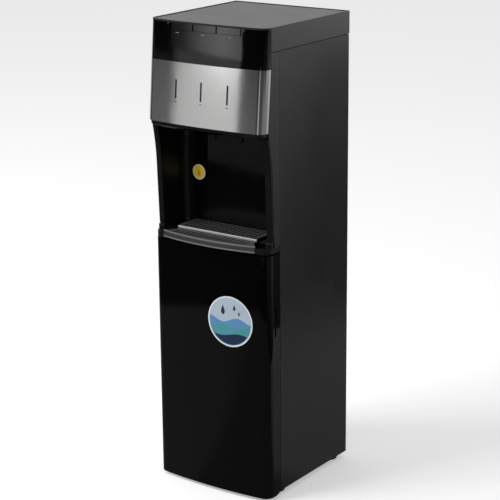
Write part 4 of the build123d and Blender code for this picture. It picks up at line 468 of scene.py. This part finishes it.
# %% [markdown]
# ## Marks that follow the surface
# Small printed marks and stickers have to lie on leaning and bowed faces. A ray shot at the face from the
# front tells where it is, so a mark is a flat grid in its own plan, and each of its points is laid on the face
# with a hair's breadth of lift. That works on any face, and it holds when the CAD model changes.

# %% Lay a shape on a face
def face_y(name, x, z):
    """Y of a node's front face at a place, found with a ray from the front."""
    hit, place, _, _ = nodes[name].ray_cast(Vector((x, -1, z)), Vector((0, 1, 0)))
    if not hit:
        raise ValueError(f"{name} has no face at {x:.4f}, {z:.4f}")
    return place.y


def lay(name, node, body, material, points, faces, lift_mm, thick_mm=0.1):
    """A thin piece over a node's front face. Points are (x, z)."""
    mesh = bpy.data.meshes.new(name)
    mesh.from_pydata([(x, face_y(node, x, z) - lift_mm * MM, z) for x, z in points], [], faces)
    mesh.materials.append(material)
    piece = bpy.data.objects.new(name, mesh)
    bpy.context.collection.objects.link(piece)
    piece.modifiers.new("thickness", "SOLIDIFY").thickness = thick_mm * MM
    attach(piece, body)
    return piece


def pad(name, node, body, slot, material, x, z, width, height, lift_mm=0.12, round_share=1.0):
    """A small bar with rounded ends, laid on a face."""
    radius = min(width, height) / 2 * round_share
    points = [(x, z)]
    for corner, (sx, sz) in enumerate(((1, 1), (-1, 1), (-1, -1), (1, -1))):
        for step in range(5):
            angle = (corner + step / 4) * math.pi / 2
            points.append((x + sx * (width / 2 - radius) + radius * math.cos(angle),
                           z + sz * (height / 2 - radius) + radius * math.sin(angle)))
    faces = [(0, 1 + step, 1 + (step + 1) % 20) for step in range(20)]
    return lay(name, node, body, material, points, faces, lift_mm)


def round_patch(name, node, body, slot, material, x, z, outer, inner=0.0, lift_mm=0.12, rings=12, spokes=96):
    """A disc or a ring, laid on a face."""
    points = []
    faces = []
    for ring in range(rings + 1):
        radius = inner + (outer - inner) * ring / rings
        for spoke in range(spokes):
            angle = spoke * 2 * math.pi / spokes
            points.append((x + radius * math.cos(angle), z + radius * math.sin(angle)))
    for ring in range(rings):
        for spoke in range(spokes):
            after = (spoke + 1) % spokes
            faces.append((ring * spokes + spoke, ring * spokes + after,
                          (ring + 1) * spokes + after, (ring + 1) * spokes + spoke))
    return lay(name, node, body, material, points, faces, lift_mm)


print("the fascia's face at its middle is at y =", round(face_y("fascia", 0, 1.0), 4))

# %% [markdown]
# ## Printed marks
# Each key has a short pale dash under it, and each slit a small mark. They are printed ink: flat, a little
# matte, and pale grey.

# %% Ink
def ink(name, colour, roughness=0.5):
    """Printed ink or film, a little uneven."""
    material, tree, shader, place = start_material(name)
    patches = noise(tree, place, 400, 2)
    tree.links.new(mottle(tree, patches, *shades(colour, 0.05)), shader.inputs["Base Color"])
    shader.inputs["Roughness"].default_value = roughness
    return material


pale_ink = ink("pale_ink", (0.20, 0.21, 0.22))
MARKS = {
    # name: (node, material, slot, pitch, shift of the middle one, height, size)
    "key_dash": ("fascia", pale_ink, "white_plastic", 0.0695, -0.0035, 1.0400, (0.009, 0.0014)),
    "slit_mark": ("steel_band", satin_dark, "black_plastic", 0.0685, -0.003, 0.8930, (0.006, 0.0016)),
}
for index in range(3):
    for mark, (node, finish, slot, pitch, shift, z, size) in MARKS.items():
        pad(f"{mark}_{index}", node, "cabinet", slot, finish, (index - 1) * pitch + shift, z, *size)
print("six marks")

# %% [markdown]
# ## Stickers
# The niche has a round yellow sticker with a drop. The door has a large round one, pale blue, with waves and
# drops. Both are thin film in layers: a disc, a ring round its edge, and the drawing on top.

# %% Drawing on a sticker
DROP_WIDTH = 0.62           # of its height
WAVE_ROWS = 8               # rows of faces from a wave's foot to its top


def drop_points(x, z, size, turns=32):
    """The outline of a falling drop: round below and pointed above."""
    points = [(x, z)]
    for step in range(turns):
        angle = step * 2 * math.pi / turns
        narrow = math.sin(angle / 2) ** 1.5
        points.append((x + size * DROP_WIDTH * math.sin(angle) * narrow, z + size * math.cos(angle)))
    return points, [(0, 1 + step, 1 + (step + 1) % turns) for step in range(turns)]


def wave_points(x, z, reach, base, height, waves, steps=48):
    """A band of water inside a circle: its top is a wave and its foot is the circle's edge."""
    points = []
    faces = []
    for step in range(steps + 1):
        u = -1 + 2 * step / steps
        side = math.sqrt(max(0.0, 1 - u * u)) * reach
        top = base + height * math.sin(waves * math.pi * u)
        top = max(-side, min(top, side))
        for row in range(WAVE_ROWS + 1):
            points.append((x + u * reach, z - side + (top + side) * row / WAVE_ROWS))
    column = WAVE_ROWS + 1
    for step in range(steps):
        for row in range(WAVE_ROWS):
            here = step * column + row
            faces.append((here, here + column, here + column + 1, here + 1))
    return points, faces


def sticker_drop(name, node, body, material, x, z, size, lift_mm):
    """A drop laid on a sticker."""
    points, faces = drop_points(x, z, size)
    return lay(name, node, body, material, points, faces, lift_mm)


def sticker_water(name, node, body, material, x, z, reach, base, height, waves, lift_mm):
    """A band of water laid on a sticker."""
    points, faces = wave_points(x, z, reach, base, height, waves)
    return lay(name, node, body, material, points, faces, lift_mm)


yellow = ink("sticker_yellow", (0.85, 0.62, 0.04), 0.4)
amber = ink("sticker_amber", (0.75, 0.30, 0.02), 0.4)
cream = ink("sticker_cream", (0.80, 0.76, 0.55), 0.4)
mist = ink("sticker_mist", (0.42, 0.50, 0.58), 0.3)
edge_white = ink("sticker_edge", (0.75, 0.78, 0.80), 0.3)
sky = ink("sticker_sky", (0.10, 0.26, 0.48), 0.3)
teal = ink("sticker_teal", (0.06, 0.30, 0.34), 0.3)
navy = ink("sticker_navy", (0.012, 0.030, 0.085), 0.3)
print("sticker films ready")

# %% Stick them on
FILM_LIFT_MM = 0.12                             # each layer of film lies this much over the one under it
NICHE_STICKER = (-0.101, 0.7095, 0.0175)        # x, z and radius
DOOR_STICKER = (0.0585, 0.414, 0.058)
DOOR_WATER = (
    # name, film, share of the radius, height of the water, height and count of its waves
    ("water", sky, 0.93, 0.004, 0.006, 1.4),
    ("depth", teal, 0.93 * 0.99, -0.012, 0.005, -1.8),
    ("floor", navy, 0.93 * 0.98, -0.030, 0.004, 1.1),
)
DOOR_DROPS = ((-0.018, 0.026, 0.011), (0.012, 0.034, 0.007), (0.024, 0.022, 0.005))    # x, z and size


def niche_sticker():
    """Yellow disc with a pale edge and a drop."""
    x, z, radius = NICHE_STICKER
    where = ("niche_liner", "cabinet", "white_plastic")
    round_patch("niche_sticker", *where, yellow, x, z, radius, lift_mm=FILM_LIFT_MM)
    round_patch("niche_sticker_ring", *where, cream, x, z, radius, radius * 0.86, 2 * FILM_LIFT_MM, 2)
    sticker_drop("niche_sticker_drop", *where[:2], amber, x, z - 0.001, radius * 0.5, 3 * FILM_LIFT_MM)


def door_sticker():
    """Pale blue disc with water and drops."""
    x, z, radius = DOOR_STICKER
    where = ("door_panel", "door", "white_plastic")
    round_patch("door_sticker", *where, mist, x, z, radius, lift_mm=FILM_LIFT_MM, rings=20)
    round_patch("door_sticker_edge", *where, edge_white, x, z, radius, radius * 0.95, 2 * FILM_LIFT_MM, 2)
    for layer, (name, film, share, base, height, waves) in enumerate(DOOR_WATER, 2):
        lift = layer * FILM_LIFT_MM
        sticker_water(f"door_sticker_{name}", *where[:2], film, x, z, radius * share, base, height, waves, lift)
    for index, (dx, dz, size) in enumerate(DOOR_DROPS):
        sticker_drop(f"door_sticker_drop_{index}", *where[:2], navy, x + dx, z + dz, size, 3 * FILM_LIFT_MM)


niche_sticker()
door_sticker()
print("stickers on")

# %% [markdown]
# ## The studio
# Gloss black shows only what stands round it. A studio for such a thing is mostly dark, with a few white
# cards where a bright line should run along an edge. The floor and the world are white for the camera, and
# grey or dark for reflections. Each card's light changes from its left edge to its right, through a value on
# its own points, so a reflection can fade out on one side and end sharply on the other.

# %% Stage helpers
def glow(name):
    """A material that only shines, as brightly as the value on its points says."""
    material = bpy.data.materials.new(name)
    material.use_nodes = True
    tree = material.node_tree
    tree.nodes.clear()
    level = add(tree, "ShaderNodeAttribute", {"attribute_name": "level"}).outputs["Fac"]
    shader = add(tree, "ShaderNodeEmission", None, Strength=level)
    end = tree.nodes.new("ShaderNodeOutputMaterial")
    tree.links.new(shader.outputs[0], end.inputs[0])
    return material


FOOT_SHARE = 0.05       # a rising card's brightness at its foot, as a share of that at its top


def card(name, azimuth, distance, width, low, high, levels, rising=False):
    """An upright card that faces the object. Azimuth is in degrees, from the front towards the right.

    Levels are (place, brightness) pairs, from the card's left edge at 0 to its right edge at 1.
    """
    angle = math.radians(azimuth)
    out = Vector((math.sin(angle), -math.cos(angle), 0))
    side = Vector((math.cos(angle), math.sin(angle), 0)) * width / 2
    middle = out * distance
    places = [place for place, _ in levels]
    points = []
    for z in (low, high):
        points += [(*(middle + side * (2 * place - 1)).xy, z) for place in places]
    count = len(places)
    mesh = bpy.data.meshes.new(name)
    mesh.from_pydata(points, [], [(i, i + 1, count + i + 1, count + i) for i in range(count - 1)])
    shine = mesh.attributes.new("level", "FLOAT", "POINT")
    for i, (_, level) in enumerate(levels * 2):
        shine.data[i].value = level * (FOOT_SHARE if rising and i < count else 1.0)
    mesh.materials.append(glow(name))
    piece = bpy.data.objects.new(name, mesh)
    bpy.context.collection.objects.link(piece)
    piece.visible_camera = False
    piece.visible_shadow = False
    piece.visible_diffuse = False
    return piece


CARDS = {
    # name: azimuth, distance, width, foot, top, then brightness along the card
    "fascia_card": (-34.0, 2.75, 1.02, 0.935, 1.25,
                    [(0, 0.15), (0.18, 0.35), (0.55, 1.9), (0.75, 2.4), (1, 1.5)]),
    "band_card": (-33.6, 2.75, 0.96, 0.40, 0.93, [(0, 0.3), (0.12, 0.72), (1, 0.8)]),
    "corner_card": (13.0, 2.60, 0.55, 0.30, 0.93, [(0, 0.5), (0.5, 0.7), (1, 0.5)]),
    "edge_card": (147.0, 2.50, 1.20, 0.83, 0.95, [(0, 6.0), (1, 6.0)]),
    "right_card": (104.0, 1.00, 2.40, 0.00, 0.84,
                   [(0, 0.25), (0.5, 0.3), (0.72, 0.85), (0.84, 0.12), (1, 0.02)]),
}
for name, place in CARDS.items():
    card(name, *place, rising=name == "right_card")
print(len(CARDS), "cards")

# %% [markdown]
# ## The floor
# The door and the niche mirror the floor in front. In a studio that floor has a lit part near the object, then
# a dark part, and a lit part again further off. Their edges are what makes the horizontal lines in the black
# plastic. For every other kind of ray the floor is pale, so it keeps the object's shadow.

# %% Floor
FLOOR_REACH = 20.0
FLOOR_NEAR = 1.47           # metres from the object, where the door's reflection turns black
FLOOR_FAR = 2.085           # metres ahead of it, where the niche's reflection turns grey again
FLOOR_FAR_SLOPE = 0.255     # and how far that line drifts for each metre to the side
LIT_NEAR = 0.125            # how bright the floor looks in reflections, by zone
LIT_FAR = 0.14
UNLIT = 0.012
LIT_BEHIND = (0.20, 0.45)   # behind the object, close to it and further off
BEHIND_REACH = (0.3, 3.0)
FLOOR_WHITE = 0.35          # what the camera sees is lifted by this much


def mirrored_floor(tree, place):
    """How bright the floor looks in reflections, by place."""
    parts = add(tree, "ShaderNodeSeparateXYZ", None, _0=place).outputs
    reach = add(tree, "ShaderNodeVectorMath", {"operation": "LENGTH"}, _0=place).outputs[1]
    near = ramp(tree, reach, FLOOR_NEAR - 0.03, FLOOR_NEAR + 0.03, LIT_NEAR, UNLIT)
    drift = maths(tree, "MULTIPLY", parts[0], FLOOR_FAR_SLOPE)
    slant = maths(tree, "SUBTRACT", drift, parts[1])
    far = ramp(tree, slant, FLOOR_FAR - 0.02, FLOOR_FAR + 0.02, 0.010, LIT_FAR)
    turned = maths(tree, "DIVIDE", parts[0], maths(tree, "MULTIPLY", parts[1], -1.0))
    fall = ramp(tree, turned, -0.42, -0.28, 1.0, 0.6)
    ahead = ramp(tree, parts[1], -0.05, 0.05, 1.0, 0.0)
    front = maths(tree, "MULTIPLY", maths(tree, "ADD", near, far), fall)
    behind = ramp(tree, reach, *BEHIND_REACH, *LIT_BEHIND)
    return maths(tree, "ADD", maths(tree, "MULTIPLY", front, ahead),
                 maths(tree, "MULTIPLY", behind, maths(tree, "SUBTRACT", 1.0, ahead)))


def floor_material():
    """Pale for the camera and for soft light, and a dark studio floor in reflections."""
    material = bpy.data.materials.new("floor")
    material.use_nodes = True
    tree = material.node_tree
    tree.nodes.clear()
    place = tree.nodes.new("ShaderNodeTexCoord").outputs["Object"]
    level = mirrored_floor(tree, place)
    mirror = add(tree, "ShaderNodeEmission", None, Strength=level).outputs[0]
    pale = add(tree, "ShaderNodeBsdfDiffuse", None, Color=(0.9, 0.9, 0.9, 1)).outputs[0]
    white = add(tree, "ShaderNodeEmission", None, Strength=FLOOR_WHITE).outputs[0]
    lit = add(tree, "ShaderNodeAddShader", None, _0=pale, _1=white).outputs[0]
    path = tree.nodes.new("ShaderNodeLightPath").outputs
    plain = add(tree, "ShaderNodeMixShader", None, _0=path["Is Camera Ray"], _1=pale, _2=lit).outputs[0]
    shown = add(tree, "ShaderNodeMixShader", None, _0=path["Is Glossy Ray"], _1=plain, _2=mirror).outputs[0]
    end = tree.nodes.new("ShaderNodeOutputMaterial")
    tree.links.new(shown, end.inputs[0])
    return material


def make_floor():
    """A wide level plane under the feet."""
    mesh = bpy.data.meshes.new("floor")
    r = FLOOR_REACH
    mesh.from_pydata([(-r, -r, 0), (r, -r, 0), (r, r, 0), (-r, r, 0)], [], [(0, 1, 2, 3)])
    mesh.materials.append(floor_material())
    floor = bpy.data.objects.new("floor", mesh)
    bpy.context.collection.objects.link(floor)
    return floor


make_floor()
print("floor", 2 * FLOOR_REACH, "m wide")

# %% [markdown]
# ## World and lamp
# The world gives even light to matte surfaces. In reflections it is white behind the object and high up, and
# nearly black low in front. One large lamp draws the soft shadow on the floor.

# %% World and key light
AMBIENT = 0.62
DARK_FRONT = 0.012                      # how bright the front looks in reflections
WHITE_FROM = (-0.1, 0.25)               # towards the back, where it turns white
PALE_FROM = (0.13, 0.24)                # upwards, where it turns pale
PALE = 0.8
LAMP_PLACE = Vector((-2.2, -2.6, 3.6))
LAMP_SIZE = (2.5, 2.0)
LAMP_WATTS = 130


def make_world():
    """White for the camera, even light for matte surfaces, and a dark front in reflections."""
    world = bpy.data.worlds.new("studio")
    bpy.context.scene.world = world
    world.use_nodes = True
    tree = world.node_tree
    tree.nodes.clear()
    way = tree.nodes.new("ShaderNodeTexCoord").outputs["Generated"]
    parts = add(tree, "ShaderNodeSeparateXYZ", None, _0=way).outputs
    behind = ramp(tree, parts[1], *WHITE_FROM, 0.0, 1.0)
    above = ramp(tree, parts[2], *PALE_FROM, 0.0, PALE)
    level = ramp(tree, maths(tree, "MAXIMUM", above, behind), 0.0, 1.0, DARK_FRONT, 1.0)
    path = tree.nodes.new("ShaderNodeLightPath").outputs
    soft = maths(tree, "ADD", maths(tree, "MULTIPLY", path["Is Camera Ray"], 1.0 - AMBIENT), AMBIENT)
    mirror = maths(tree, "MULTIPLY", path["Is Glossy Ray"], level)
    rest = maths(tree, "MULTIPLY", maths(tree, "SUBTRACT", 1.0, path["Is Glossy Ray"]), soft)
    shine = add(tree, "ShaderNodeBackground", None, Strength=maths(tree, "ADD", mirror, rest))
    end = tree.nodes.new("ShaderNodeOutputWorld")
    tree.links.new(shine.outputs[0], end.inputs[0])


def key_light():
    """A large soft lamp from the upper left, which reflections don't show."""
    lamp = bpy.data.lights.new("key_lamp", "AREA")
    lamp.shape = "RECTANGLE"
    lamp.size, lamp.size_y = LAMP_SIZE
    lamp.energy = LAMP_WATTS
    holder = bpy.data.objects.new("key_lamp", lamp)
    turn = (LAMP_PLACE - AIM).to_track_quat("Z", "Y").to_matrix().to_4x4()
    holder.matrix_world = Matrix.Translation(LAMP_PLACE) @ turn
    holder.visible_glossy = False
    bpy.context.collection.objects.link(holder)


make_world()
key_light()
bpy.context.scene.view_settings.view_transform = "Standard"
print("world and lamp ready")
